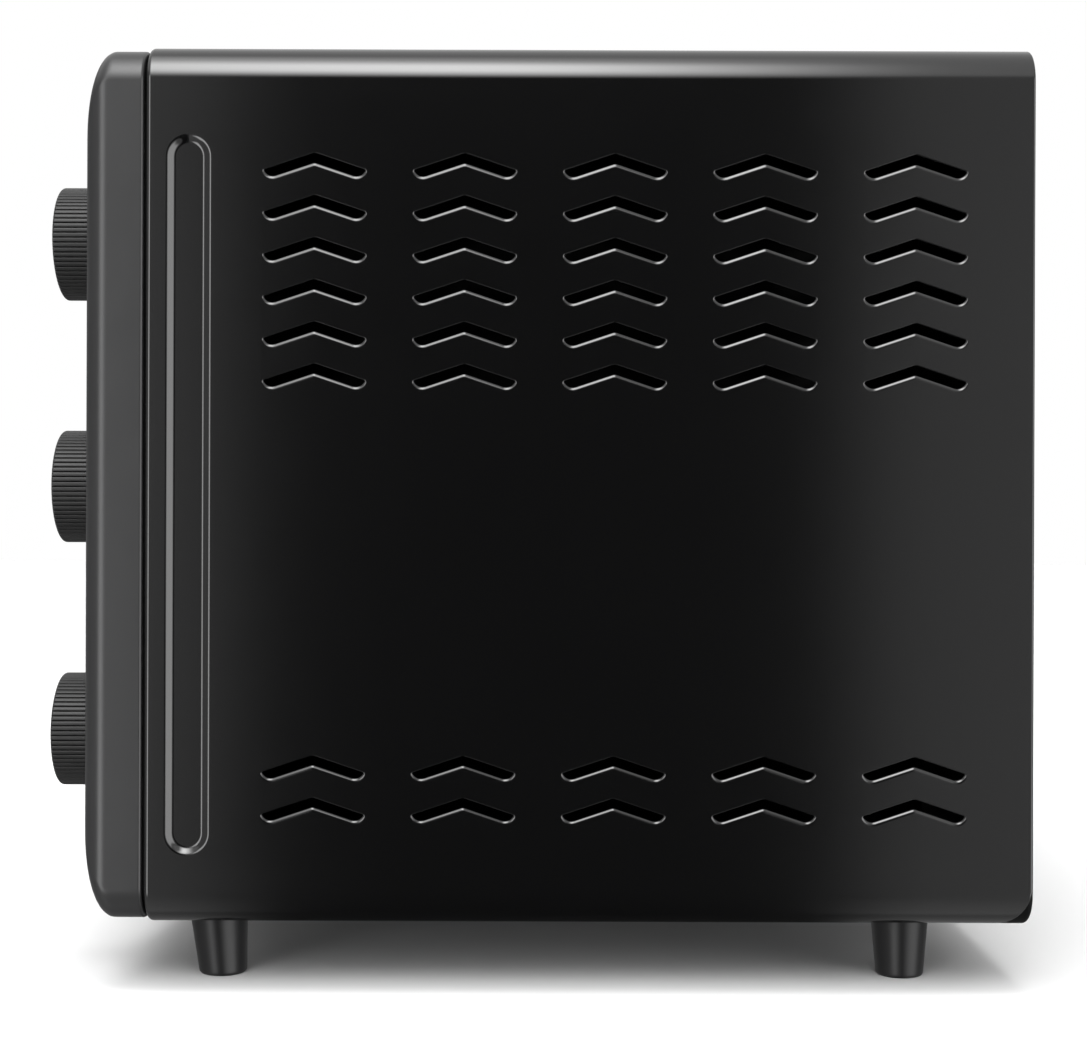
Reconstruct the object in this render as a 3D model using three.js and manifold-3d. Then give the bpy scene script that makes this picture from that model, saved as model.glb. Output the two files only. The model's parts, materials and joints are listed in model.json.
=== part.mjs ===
// A countertop toaster oven of about 28 litres: a wrap-round steel case with chevron vents, a pillowed front
// frame, a drop-down glass door on the left and three knobs in a column on the right.
//
// Millimetres, +Z up. The front faces -Y and the control column is at +X, on the right of someone who faces
// the door. The origin is the middle of the bounding box's underside, on the surface that the feet stand on.

import * as THREE from 'three';
import { mergeVertices } from 'three/addons/utils/BufferGeometryUtils.js';
import Module from 'manifold-3d';

const wasm = await Module();
wasm.setup();

// ---------------------------------------------------------------- driving dimensions

const WIDTH = 490; // case, side to side
const BODY_HEIGHT = 315.2; // case, underside to top
const FOOT_HEIGHT = 23.5;
const BODY_DEPTH = 339.5; // front frame's face to back cover
const HANDLE_REACH = 36; // the handle stands this far in front of the frame's face
const GLAND_REACH = 3; // the cord gland stands this far behind the back cover
const SHEET = 0.7; // case, base and back cover
const LINER_SHEET = 0.5; // oven cavity
const GAP = 0.3; // between pieces that touch
const CASE_RADIUS = 13.5; // the case's long edges

const SIDE = WIDTH / 2;
const BOTTOM = FOOT_HEIGHT;
const TOP = FOOT_HEIGHT + BODY_HEIGHT;
const MIDDLE_Z = (BOTTOM + TOP) / 2;
const FRONT = HANDLE_REACH - (BODY_DEPTH + HANDLE_REACH + GLAND_REACH) / 2;
const BACK = FRONT + BODY_DEPTH;

// front frame
const FRAME_DEPTH = 21.9;
const FRAME_BACK = FRONT + FRAME_DEPTH;
const FRAME_INSET = 1; // the frame is this much smaller than the case, each side
const FRAME_WALL = 3;
const FRAME_CORNER = 13; // corner radius seen from the front
const FRAME_SIDE_ROUND = 8.4; // radius between its face and its sides
const FRAME_END_ROUND = { deep: 10.6, high: 25 }; // ellipse between its face and its top and bottom
const SPIGOT_REACH = 12; // the collar behind the frame that the case slips over
const FRAME_JOINT = 1.4; // open joint between the frame and the case
const CASE_FRONT = FRAME_BACK + FRAME_JOINT;
const CASE_BACK = BACK - 0.5;
const CASE_LIP = 7; // how far the case turns under at the bottom, past its rounding
const CASE_CORNER = 12; // each side's lower back corner is cut round
const BASE_WALL = 20; // height of the base pan's upturned sides
const COVER_SKIRT = 14;
const COVER_ROUND = 2; // the back cover's edge rolls over

// door opening, control window and tray slot in the frame
const OPENING = { x0: -232, x1: 124, z0: 58.5, z1: 309 };
const OPENING_WALL = 2.5;
const PANEL = { x0: 135, x1: 236, z0: 60, z1: 309, thick: 1.5 };
const PANEL_LEDGE = 8;

// oven cavity, inside faces
const CAVITY = { x0: -224, x1: 116, y0: FRAME_BACK + GAP, y1: 150, z0: 34, z1: 306 };
const CAVITY_FLANGE = 8;

// door
const DOOR = { x0: -230.5, x1: 122.5, y0: FRONT + 1, y1: FRONT + 13, z0: 61.5, z1: 307.5 };
const WINDOW = { x0: -204.5, x1: 96.5, z0: 92, z1: 262 };
const DOOR_SKIN = 1.2;
const GLASS_REBATE = 4.5; // how far the glass passes behind the window's edge
const GLASS_THICK = 4;
const HINGE = { y: DOOR.y0 + 6, z: 70, pin: 2.5 };
const HANDLE = { x0: -196, x1: 88, z: 284, deep: 12, high: 16, post_inset: 16 };

// rack, pan and tray
const RACK_Z = 150; // middle of the rack's rim wire
const RACK_WIRE = 2.4;
const TRAY = {
  x0: CAVITY.x0 + 4.5, x1: CAVITY.x1 - 4.5, y0: FRONT - GAP, y1: CAVITY.y1 - 14, high: 9, sheet: 0.7,
  lip: { z0: 32, z1: 50, side: 3, thick: 1.8, pull: 90, reach: 8 },
};

// controls
const KNOB_X = (PANEL.x0 + PANEL.x1) / 2;
const KNOB_PITCH = 93.8;
const KNOB_RADIUS = 21.6;
const KNOB_CAP = 19.2; // radius of the bright cap in its end
const KNOB_REACH = 20.8; // in front of the frame's face, without the cap
const KNOB_NAMES = ['timer', 'function', 'temperature']; // from the bottom up
const knobZ = (i) => MIDDLE_Z + (i - 1) * KNOB_PITCH;
const LAMP = { x: KNOB_X + 28, z: (knobZ(0) + knobZ(1)) / 2, radius: 3.1, reach: 1.2, deep: 14 };
const SHAFT = { radius: 3, bore: 3.3, hole: 4.5, grip: 12, seat: 3.6, seat_deep: 9 };
const PLATE_THICK = 1; // the steel plate that carries the controls
const CONTROLS_Y = FRONT + FRAME_WALL + GAP + PLATE_THICK + GAP; // front of everything that the plate carries
const TIMER = { half_x: 26, half_z: 24, round: 4, deep: 30, bell: 20 };
const SWITCH = { neck: 17, neck_deep: 3, radius: 20, shoulder: 22, deep: 24, end: 14 };
const THERMOSTAT = { base_x: 18, base_z: 20, base_deep: 4, half_x: 14, z0: 17, z1: 12, deep: 22 };

// vents in both sides of the case
const VENT = {
  y: FRONT + 82.8, pitch_y: 53.43, columns: 5, pitch_z: 15.05, width: 35.9, thick: 4.1, slope: 0.335,
};
const VENT_ROWS = [...Array(6).keys()].map((i) => 296.5 - i * VENT.pitch_z).concat([82.8, 67.8]);

// the long stamped recess behind the front edge of each side
const RECESS = { y: FRONT + 38.1, z0: 49, z1: 305.6, half_width: 8.1, deep: 1.2, slope: 3 };

// plain slots in the back cover and the base pan
const BACK_SLOTS = {
  xs: [-180, -120, -60, 0, 60, 120, 180], zs: [200, 186, 172, 110, 96], long: 38, wide: 4,
};
const BASE_SLOTS = { xs: [-180, -150, -120, 120, 150, 180], ys: [-60, 20, 100], long: 50, wide: 4 };

const FEET = {
  x: 212, y_front: FRONT + 43.95, y_back: FRONT + 297.85, r_top: 10.8, r_bottom: 8.8, rake: 1.8,
};
const GLAND = { x: 190, z: 62, hole: 7.6 };
const ELEMENT_YS = { front: -76, rear: 72 };
const ELEMENT_ZS = { lower: 53, upper: 287 };
const ELEMENT = {
  rod: 3.5, hole: 4.6, insulator: 5.5, insulator_long: 8, pin: 1.5, pin_long: 6, stand_off: 4,
};
const BRACKET = { stand_off: 1.8, thick: 0.8, beyond: 16, half_high: 10 };
const RAIL = {
  thick: 1, ledge: 8, ledge_thick: 1, below: 48, above: 46, foot: 8, head: 14, front: 11, back: 8,
};
const SHIELD = { gap: 22, foot: 14, thick: 0.8, z1: 326 }; // between the cavity and the controls
const CUTOUT = { z: 230, radius: 9, gap: 1.2, deep: 12 };
const TERMINALS = { x0: 165, x1: 205, y0: 130, y1: 150, z0: 28, z1: 42 };

// ---------------------------------------------------------------- geometry helpers

const AXES = {
  // outline's first and second coordinate, then the way it is extruded
  x: [[0, 1, 0], [0, 0, 1], [1, 0, 0]],
  y: [[1, 0, 0], [0, 0, 1], [0, -1, 0]],
  z: [[1, 0, 0], [0, 1, 0], [0, 0, 1]],
};

function polygon(points) {
  return new THREE.Shape(points.map(([a, b]) => new THREE.Vector2(a, b)));
}

function roundedRect(a0, a1, b0, b1, r) {
  const s = new THREE.Shape();
  s.absarc(a1 - r, b1 - r, r, 0, Math.PI / 2);
  s.absarc(a0 + r, b1 - r, r, Math.PI / 2, Math.PI);
  s.absarc(a0 + r, b0 + r, r, Math.PI, Math.PI * 1.5);
  s.absarc(a1 - r, b0 + r, r, Math.PI * 1.5, Math.PI * 2);
  return s.closePath();
}

function extrude(shape, axis, from, to, curveSegments = 2) {
  const g = new THREE.ExtrudeGeometry(shape, { depth: to - from, bevelEnabled: false, curveSegments });
  const [a, b, c] = AXES[axis].map((v) => new THREE.Vector3(...v));
  const start = new THREE.Vector3(axis === 'x' ? from : 0, axis === 'y' ? to : 0, axis === 'z' ? from : 0);
  return g.applyMatrix4(new THREE.Matrix4().makeBasis(a, b, c).setPosition(start));
}

function box(x0, x1, y0, y1, z0, z1) {
  return new THREE.BoxGeometry(x1 - x0, y1 - y0, z1 - z0)
    .translate((x0 + x1) / 2, (y0 + y1) / 2, (z0 + z1) / 2);
}

function signedVolume(geometry) {
  const p = geometry.getAttribute('position');
  const corner = (i) => new THREE.Vector3().fromBufferAttribute(p, geometry.index.getX(i));
  let sum = 0;
  for (let i = 0; i < geometry.index.count; i += 3) sum += corner(i).dot(corner(i + 1).cross(corner(i + 2)));
  return sum / 6;
}

// The geometry with its faces pointing out, whichever way its profile or rings ran.
function facingOut(geometry) {
  if (signedVolume(geometry) < 0) {
    const index = geometry.index.array;
    for (let i = 0; i < index.length; i += 3) [index[i + 1], index[i + 2]] = [index[i + 2], index[i + 1]];
  }
  return geometry;
}

// A turned piece: the profile holds [radius, distance along the axis].
function turned(profile, axis, segments = 16) {
  const g = new THREE.LatheGeometry(polygon(profile).getPoints(), segments);
  if (axis === 'z') g.rotateX(Math.PI / 2);
  if (axis === 'x') g.rotateZ(-Math.PI / 2);
  return facingOut(g);
}

// A closed solid through convex rings with equal counts of points.
function loft(rings) {
  const n = rings[0].length;
  const index = [];
  for (let r = 0; r + 1 < rings.length; r++) {
    for (let i = 0; i < n; i++) {
      const [a, b] = [r * n + i, r * n + ((i + 1) % n)];
      index.push(a, b, b + n, a, b + n, a + n);
    }
  }
  const last = (rings.length - 1) * n;
  for (let i = 1; i + 1 < n; i++) index.push(0, i + 1, i, last, last + i, last + i + 1);
  const g = new THREE.BufferGeometry().setFromPoints(rings.flat());
  g.setIndex(index);
  return facingOut(g);
}

// Points of a rounded rectangle centred on (cx, cz) at depth y.
function ringY(y, cx, cz, halfX, halfZ, r, steps = 4) {
  const quarters = [[1, 1], [-1, 1], [-1, -1], [1, -1]];
  return quarters.flatMap(([sx, sz], q) =>
    [...Array(steps + 1).keys()].map((i) => {
      const angle = (q + i / steps) * (Math.PI / 2);
      return new THREE.Vector3(
        cx + sx * (halfX - r) + r * Math.cos(angle), y, cz + sz * (halfZ - r) + r * Math.sin(angle));
    }));
}

// The same ring lying flat at height z.
const ringZ = (z, cx, cy, halfX, halfY, r, steps = 3) =>
  ringY(0, cx, cy, halfX, halfY, r, steps).map((p) => new THREE.Vector3(p.x, p.z, z));

function toSolid(geometry) {
  const loose = geometry.index ? geometry.toNonIndexed() : geometry;
  const bare = new THREE.BufferGeometry().setAttribute('position', loose.getAttribute('position'));
  const merged = mergeVertices(bare, 1e-3);
  return new wasm.Manifold(new wasm.Mesh({
    numProp: 3,
    vertProperties: merged.getAttribute('position').array,
    triVerts: new Uint32Array(merged.index.array),
  }));
}

function fromSolid(solid) {
  const mesh = solid.getMesh();
  const positions = new THREE.BufferAttribute(mesh.vertProperties, 3);
  const g = new THREE.BufferGeometry().setAttribute('position', positions);
  return g.setIndex(new THREE.BufferAttribute(mesh.triVerts, 1));
}

const cut = (base, ...tools) => fromSolid(tools.reduce((s, t) => s.subtract(toSolid(t)), toSolid(base)));
const join = (base, ...more) => fromSolid(more.reduce((s, t) => s.add(toSolid(t)), toSolid(base)));
const bore = (axis, from, to, a, b, radius, segments = 12) => {
  const g = turned([[0, from], [radius, from], [radius, to], [0, to]], axis, segments);
  const place = { x: [0, a, b], y: [a, 0, b], z: [a, b, 0] }[axis];
  return g.translate(...place);
};

// ---------------------------------------------------------------- materials

const material = (color, roughness, metalness, extra = {}) =>
  new THREE.MeshStandardMaterial({ color, roughness, metalness, ...extra });
const MATERIALS = {
  case_black: material(0x1b1b1c, 0.38, 0.4),
  frame_black: material(0x2b2b2c, 0.45, 0.1),
  door_black: material(0x1d1d1e, 0.35, 0.3),
  panel_black: material(0x141415, 0.3, 0.2),
  knob_black: material(0x222223, 0.5, 0),
  knob_cap: material(0xc9c9c7, 0.25, 1),
  foot_black: material(0x1a1a1b, 0.55, 0),
  liner: material(0x9b9b98, 0.35, 1),
  steel: material(0xb4b4b2, 0.3, 1),
  chrome: material(0xd2d2d0, 0.12, 1),
  element: material(0x6f6a66, 0.5, 0.6),
  pan_enamel: material(0x17171a, 0.25, 0.1),
  glass: material(0x2c2f30, 0.05, 0, { transparent: true, opacity: 0.35 }),
  handle: material(0xbfbfbd, 0.28, 1),
  ceramic: material(0xe6e1d6, 0.7, 0),
  control_body: material(0xcfc8b4, 0.6, 0),
  lamp: material(0xb3331f, 0.2, 0),
  rubber: material(0x161616, 0.8, 0),
};

const oven = new THREE.Group();
function add(name, slot, geometry) {
  const mesh = new THREE.Mesh(geometry, MATERIALS[slot]);
  mesh.name = name;
  oven.add(mesh);
}

// ---------------------------------------------------------------- case

// The case's section: an open ring that turns under at both bottom edges and stops at half-width `lipX`.
function wrapSection(half, z0, z1, radius, lipX, sheet) {
  const s = new THREE.Shape();
  const inner = radius - sheet;
  const quarter = Math.PI / 2;
  s.moveTo(lipX, z0);
  s.absarc(half - radius, z0 + radius, radius, -quarter, 0);
  s.absarc(half - radius, z1 - radius, radius, 0, quarter);
  s.absarc(radius - half, z1 - radius, radius, quarter, 2 * quarter);
  s.absarc(radius - half, z0 + radius, radius, 2 * quarter, 3 * quarter);
  s.lineTo(-lipX, z0);
  s.lineTo(-lipX, z0 + sheet);
  s.absarc(radius - half, z0 + radius, inner, 3 * quarter, 2 * quarter, true);
  s.absarc(radius - half, z1 - radius, inner, 2 * quarter, quarter, true);
  s.absarc(half - radius, z1 - radius, inner, quarter, 0, true);
  s.absarc(half - radius, z0 + radius, inner, 0, -quarter, true);
  s.lineTo(lipX, z0 + sheet);
  return s.closePath();
}

// One chevron vent as a bar right through the case, its ends cut square to its arms.
function chevron(y, z) {
  const [arm, half] = [VENT.width / 2, VENT.thick / 2];
  const drop = arm * VENT.slope;
  const end = half * VENT.slope; // how far the lower end corner lies inside the upper one
  const outline = [
    [y, z + half], [y - arm, z + half - drop], [y - arm + 2 * end, z - half - drop + 2 * end * VENT.slope],
    [y, z - half], [y + arm - 2 * end, z - half - drop + 2 * end * VENT.slope], [y + arm, z + half - drop],
  ];
  return extrude(polygon(outline), 'x', -SIDE - 5, SIDE + 5);
}

// A stadium standing up in the plane x, for the recess in the case's side.
function stadiumX(x, inset) {
  const r = RECESS.half_width - inset;
  const middle = (RECESS.z0 + RECESS.z1) / 2;
  const ring = ringY(0, RECESS.y, middle, r, (RECESS.z1 - RECESS.z0) / 2 - inset, r - 0.01, 4);
  return ring.map((p) => new THREE.Vector3(x, p.x, p.z));
}

function outerShell() {
  const lipX = SIDE - CASE_RADIUS - CASE_LIP;
  const section = wrapSection(SIDE, BOTTOM, TOP, CASE_RADIUS, lipX, SHEET);
  let shell = extrude(section, 'y', CASE_FRONT, CASE_BACK, 3);
  for (const side of [-1, 1]) {
    const outside = side * SIDE;
    const floor = side * (SIDE - RECESS.deep);
    const brim = side * (SIDE - SHEET / 2);
    const cup = loft([stadiumX(brim, -SHEET), stadiumX(floor - side * SHEET, RECESS.slope - SHEET)]);
    const hollow = loft([stadiumX(outside + side * 0.5, -0.7), stadiumX(floor, RECESS.slope)]);
    shell = cut(join(shell, cup), hollow);
  }
  const vents = VENT_ROWS.flatMap((z) =>
    [...Array(VENT.columns).keys()].map((i) => chevron(VENT.y + i * VENT.pitch_y, z)));
  const corner = CASE_CORNER;
  const block = box(-SIDE - 1, SIDE + 1, CASE_BACK - corner, CASE_BACK + 1, BOTTOM - 1, BOTTOM + corner);
  const keep = bore('x', -SIDE - 2, SIDE + 2, CASE_BACK - corner, BOTTOM + corner, corner, 24);
  return cut(shell, ...vents, cut(block, keep));
}


function basePan() {
  const room = SHEET + GAP; // it lies inside the case's bottom lips
  const [half, radius, wall] = [SIDE - room, CASE_RADIUS - room, BASE_WALL];
  const quarter = Math.PI / 2;
  const z0 = BOTTOM + room;
  const s = new THREE.Shape();
  s.moveTo(-half + radius, z0);
  s.absarc(half - radius, z0 + radius, radius, -quarter, 0);
  s.lineTo(half, z0 + wall);
  s.lineTo(half - SHEET, z0 + wall);
  s.absarc(half - radius, z0 + radius, radius - SHEET, 0, -quarter, true);
  s.absarc(radius - half, z0 + radius, radius - SHEET, 3 * quarter, 2 * quarter, true);
  s.lineTo(SHEET - half, z0 + wall);
  s.lineTo(-half, z0 + wall);
  s.absarc(radius - half, z0 + radius, radius, 2 * quarter, 3 * quarter);
  const pan = extrude(s.closePath(), 'y', FRAME_BACK + SPIGOT_REACH + GAP, BACK - COVER_SKIRT - 2, 2);
  const { xs, ys, long, wide } = BASE_SLOTS;
  const slots = xs.flatMap((x) => ys.map((y) =>
    box(x - wide / 2, x + wide / 2, y - long / 2, y + long / 2, z0 - 1, z0 + 2)));
  return cut(pan, ...slots);
}

function backCover() {
  const room = SHEET + GAP;
  const [halfX, halfZ, radius] = [SIDE - room, BODY_HEIGHT / 2 - room, CASE_RADIUS - room];
  const [skirt, round] = [COVER_SKIRT, COVER_ROUND];
  const ring = (y, inset) => ringY(y, 0, MIDDLE_Z, halfX - inset, halfZ - inset, radius - inset);
  const outside = loft([ring(BACK - skirt, 0), ring(BACK - round, 0), ring(BACK, round * 0.6)]);
  const hollow = loft([
    ring(BACK - skirt - 1, SHEET), ring(BACK - round, SHEET), ring(BACK - SHEET, SHEET + round * 0.6)]);
  const { xs, zs, long, wide } = BACK_SLOTS;
  const slots = xs.flatMap((x) => zs.map((z) =>
    box(x - long / 2, x + long / 2, BACK - 2, BACK + 1, z - wide / 2, z + wide / 2)));
  return cut(outside, hollow, ...slots, bore('y', BACK - 2, BACK + 1, GLAND.x, GLAND.z, GLAND.hole));
}

function foot(rake) {
  const { r_top, r_bottom } = FEET;
  const top = FOOT_HEIGHT + SHEET; // it stands against the base pan
  const g = turned([[0, 0], [r_bottom - 1, 0], [r_bottom, 1.2], [r_top, top], [0, top]], 'z', 20);
  const shear = new THREE.Matrix4().set(1, 0, 0, 0, 0, 1, -rake / FOOT_HEIGHT, rake, 0, 0, 1, 0, 0, 0, 0, 1);
  return g.applyMatrix4(shear);
}

const gland = () => turned([
  [4.2, BACK - 9], [7.2, BACK - 9], [7.2, BACK + GAP], [10.5, BACK + GAP], [9.5, BACK + GLAND_REACH],
  [4.2, BACK + GLAND_REACH], [4.2, BACK - 9],
], 'y', 20).translate(GLAND.x, 0, GLAND.z);

// ---------------------------------------------------------------- front frame and control panel

// A pillowed slab: its face is flat, its sides turn back on a radius and its top and bottom on an ellipse.
function pillow(halfX, halfZ, face, back) {
  const steps = 6;
  const { deep, high } = FRAME_END_ROUND;
  const rings = [...Array(steps + 1).keys()].map((i) => {
    const angle = (i / steps) * (Math.PI / 2);
    const depth = deep * (1 - Math.cos(angle));
    const left = Math.max(FRAME_SIDE_ROUND - depth, 0);
    const insetX = FRAME_SIDE_ROUND - Math.sqrt(FRAME_SIDE_ROUND ** 2 - left ** 2);
    const insetZ = high * (1 - Math.sin(angle));
    return ringY(face + depth, 0, MIDDLE_Z, halfX - insetX, halfZ - insetZ, FRAME_CORNER);
  });
  return loft([...rings, ringY(back, 0, MIDDLE_Z, halfX, halfZ, FRAME_CORNER)]);
}

function frontFrame() {
  const [halfX, halfZ] = [SIDE - FRAME_INSET, BODY_HEIGHT / 2 - FRAME_INSET];
  const shell = cut(
    pillow(halfX, halfZ, FRONT, FRAME_BACK),
    pillow(halfX - FRAME_WALL, halfZ - FRAME_WALL, FRONT + FRAME_WALL, FRAME_BACK + 1));
  const spigotEnd = FRAME_BACK + SPIGOT_REACH;
  const spigotRing = (y, inset) =>
    ringY(y, 0, MIDDLE_Z, halfX - inset, halfZ - inset, FRAME_CORNER - inset);
  const spigot = cut(
    loft([spigotRing(FRAME_BACK - 3, 2.5), spigotRing(spigotEnd, 2.5)]),
    loft([spigotRing(FRAME_BACK - 4, 4.5), spigotRing(spigotEnd + 1, 4.5)]));
  const o = OPENING;
  const w = OPENING_WALL;
  const collar = box(o.x0 - w, o.x1 + w, FRONT + 1, FRAME_BACK, o.z0 - w, o.z1 + w);
  const opening = box(o.x0, o.x1, FRONT - 1, FRAME_BACK + 1, o.z0, o.z1);
  const p = PANEL;
  const recess = box(p.x0, p.x1, FRONT - 1, FRONT + p.thick + GAP, p.z0, p.z1);
  const window = box(
    p.x0 + PANEL_LEDGE, p.x1 - PANEL_LEDGE, FRONT - 1, FRONT + FRAME_WALL + 1,
    p.z0 + PANEL_LEDGE, p.z1 - PANEL_LEDGE);
  const traySlot = box(CAVITY.x0 + 3.5, CAVITY.x1 - 3.5, FRONT - 1, FRONT + 12, CAVITY.z0 - 0.2, 45);
  const pins = [o.x0 - w - 1, o.x1 - 1].map((x) =>
    bore('x', x, x + w + 2, HINGE.y, HINGE.z, HINGE.pin + GAP));
  return cut(join(shell, spigot, collar), opening, recess, window, traySlot, ...pins);
}

function controlPanel() {
  const p = PANEL;
  const plate = box(p.x0 + GAP, p.x1 - GAP, FRONT + 0.1, FRONT + p.thick, p.z0 + GAP, p.z1 - GAP);
  const holes = [0, 1, 2].map((i) => bore('y', FRONT - 1, FRONT + 3, KNOB_X, knobZ(i), SHAFT.hole));
  return cut(plate, ...holes, bore('y', FRONT - 1, FRONT + 3, LAMP.x, LAMP.z, LAMP.radius + GAP));
}

function controlPlate() {
  const y = FRONT + FRAME_WALL + GAP;
  const plate = box(PANEL.x0 - 3, PANEL.x1 - 5, y, y + PLATE_THICK, PANEL.z0 + 4, PANEL.z1 - 4);
  const holes = [0, 1, 2].map((i) => bore('y', y - 1, y + 2, KNOB_X, knobZ(i), SHAFT.hole));
  return cut(plate, ...holes, bore('y', y - 1, y + 2, LAMP.x, LAMP.z, 5));
}

const shaftSeat = (i) =>
  bore('y', CONTROLS_Y - 1, CONTROLS_Y + SHAFT.seat_deep, KNOB_X, knobZ(i), SHAFT.seat);

function timerBody() {
  const z = knobZ(0);
  const { half_x, half_z, round, deep } = TIMER;
  const shape = roundedRect(KNOB_X - half_x, KNOB_X + half_x, z - half_z, z + half_z, round);
  return cut(extrude(shape, 'y', CONTROLS_Y, CONTROLS_Y + deep), shaftSeat(0));
}

const timerBell = () => {
  const y = CONTROLS_Y + TIMER.deep + GAP;
  const r = TIMER.bell;
  return turned([
    [0, y], [4, y], [4, y + 4], [r - 1, y + 4], [r, y + 5], [r - 3, y + 11], [r / 2, y + 15], [0, y + 16],
  ], 'y', 20).translate(KNOB_X, 0, knobZ(0));
};

function functionSwitch() {
  const y = CONTROLS_Y;
  const { neck, neck_deep, radius, shoulder, deep, end } = SWITCH;
  const drum = turned([
    [0, y], [neck, y], [neck, y + neck_deep], [radius, y + neck_deep], [radius, y + shoulder],
    [end, y + deep], [0, y + deep],
  ], 'y', 20).translate(KNOB_X, 0, knobZ(1));
  return cut(drum, shaftSeat(1));
}

function thermostat() {
  const z = knobZ(2);
  const t = THERMOSTAT;
  const base = box(
    KNOB_X - t.base_x, KNOB_X + t.base_x, CONTROLS_Y, CONTROLS_Y + t.base_deep, z - t.base_z, z + t.base_z);
  const block = box(
    KNOB_X - t.half_x, KNOB_X + t.half_x, CONTROLS_Y + t.base_deep - 1, CONTROLS_Y + t.deep,
    z - t.z0, z + t.z1);
  return cut(join(base, block), shaftSeat(2));
}

const pilotLamp = () => turned([
  [0, FRONT - LAMP.reach], [2, FRONT - LAMP.reach + 0.3], [LAMP.radius, FRONT],
  [LAMP.radius, FRONT + LAMP.deep], [0, FRONT + LAMP.deep],
], 'y', 16).translate(LAMP.x, 0, LAMP.z);

function knob(i) {
  const [back, tip] = [FRONT - 0.4, FRONT - KNOB_REACH];
  const body = turned([
    [0, tip + 0.8], [KNOB_CAP + GAP, tip + 0.8], [KNOB_CAP + GAP, tip], [KNOB_RADIUS - 0.6, tip],
    [KNOB_RADIUS, tip + 0.6], [KNOB_RADIUS, back], [0, back],
  ], 'y', 36).translate(KNOB_X, 0, knobZ(i));
  const end = tip + SHAFT.grip;
  const pocket = turned([[0, end], [SHAFT.bore, end], [SHAFT.bore, back + 1], [0, back + 1]], 'y', 12);
  return cut(body, pocket.translate(KNOB_X, 0, knobZ(i)));
}

// The bright cap set in the knob's end, with the raised pointer bar across its upper half.
function knobCap(i) {
  const tip = FRONT - KNOB_REACH;
  const disc = turned([
    [0, tip - 1], [9, tip - 0.7], [KNOB_CAP - 2, tip - 0.3], [KNOB_CAP, tip + 0.5], [0, tip + 0.5],
  ], 'y', 36).translate(KNOB_X, 0, knobZ(i));
  const z = knobZ(i);
  return join(disc, box(KNOB_X - 1, KNOB_X + 1, tip - 1.3, tip, z + 5, z + 16));
}

function knobShaft(i) {
  const [tip, end] = [FRONT - KNOB_REACH + SHAFT.grip + GAP, CONTROLS_Y + SHAFT.seat_deep - 1];
  const rod = turned([[0, tip], [SHAFT.radius, tip], [SHAFT.radius, end], [0, end]], 'y', 12);
  return rod.translate(KNOB_X, 0, knobZ(i));
}

// ---------------------------------------------------------------- oven cavity and what it holds

const eachElement = (make) =>
  Object.entries(ELEMENT_ZS).flatMap(([level, z]) =>
    Object.entries(ELEMENT_YS).map(([row, y]) => make(level, row, y, z)));

function ovenCavity() {
  const c = CAVITY;
  const s = LINER_SHEET;
  const outside = box(c.x0 - s, c.x1 + s, c.y0, c.y1 + s, c.z0 - s, c.z1 + s);
  const f = CAVITY_FLANGE;
  const flange = box(c.x0 - f, c.x1 + f, c.y0, c.y0 + s, c.z0 - 4, c.z1 + 5);
  const inside = box(c.x0, c.x1, c.y0 - 1, c.y1, c.z0, c.z1);
  const holes = eachElement((level, row, y, z) => bore('x', c.x0 - 3, c.x1 + 3, y, z, ELEMENT.hole));
  return cut(join(outside, flange), inside, ...holes);
}

function heatingElement(y, z) {
  const { rod, insulator, insulator_long, pin, pin_long, stand_off } = ELEMENT;
  const [left, right] = [CAVITY.x0 - stand_off, CAVITY.x1 + stand_off];
  const [left_end, right_end] = [left - insulator_long, right + insulator_long];
  return turned([
    [0, left_end - pin_long + 2], [pin, left_end - pin_long + 2], [pin, left_end], [insulator, left_end],
    [insulator, left], [rod, left], [rod, right], [insulator, right],
    [insulator, right_end], [pin, right_end], [pin, right_end + pin_long], [0, right_end + pin_long],
  ], 'x', 12).translate(0, y, z);
}

function elementBracket(side, z) {
  const { stand_off, thick, beyond, half_high } = BRACKET;
  const x = side < 0 ? CAVITY.x0 - stand_off - thick : CAVITY.x1 + stand_off;
  const plate = box(
    x, x + thick, ELEMENT_YS.front - beyond, ELEMENT_YS.rear + beyond, z - half_high, z + half_high);
  return cut(plate, ...Object.values(ELEMENT_YS).map((y) => bore('x', x - 1, x + 2, y, z, ELEMENT.hole)));
}

// Side rail with three ledges; `side` is -1 on the left wall and 1 on the right wall.
function rackRail(side) {
  const wall = side < 0 ? CAVITY.x0 + GAP : CAVITY.x1 - GAP;
  const at = (d) => wall - side * d;
  const { thick, ledge, ledge_thick, below, above, foot, head, front, back } = RAIL;
  const ledges = [RACK_Z - below, RACK_Z - RACK_WIRE - GAP, RACK_Z + above];
  const outline = [[at(0), ledges[0] - foot], [at(thick), ledges[0] - foot]];
  for (const z of ledges) {
    outline.push([at(thick), z - ledge_thick], [at(ledge), z - ledge_thick], [at(ledge), z], [at(thick), z]);
  }
  outline.push([at(thick), ledges[2] + head], [at(0), ledges[2] + head]);
  return extrude(polygon(outline), 'y', CAVITY.y0 + front, CAVITY.y1 - back);
}

const RACK = { x0: CAVITY.x0 + 2.4, x1: CAVITY.x1 - 2.4, y0: CAVITY.y0 + 14, y1: CAVITY.y1 - 12 };

function wire(axis, from, to, a, b, radius) {
  return bore(axis, from, to, a, b, radius, 8);
}

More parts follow.
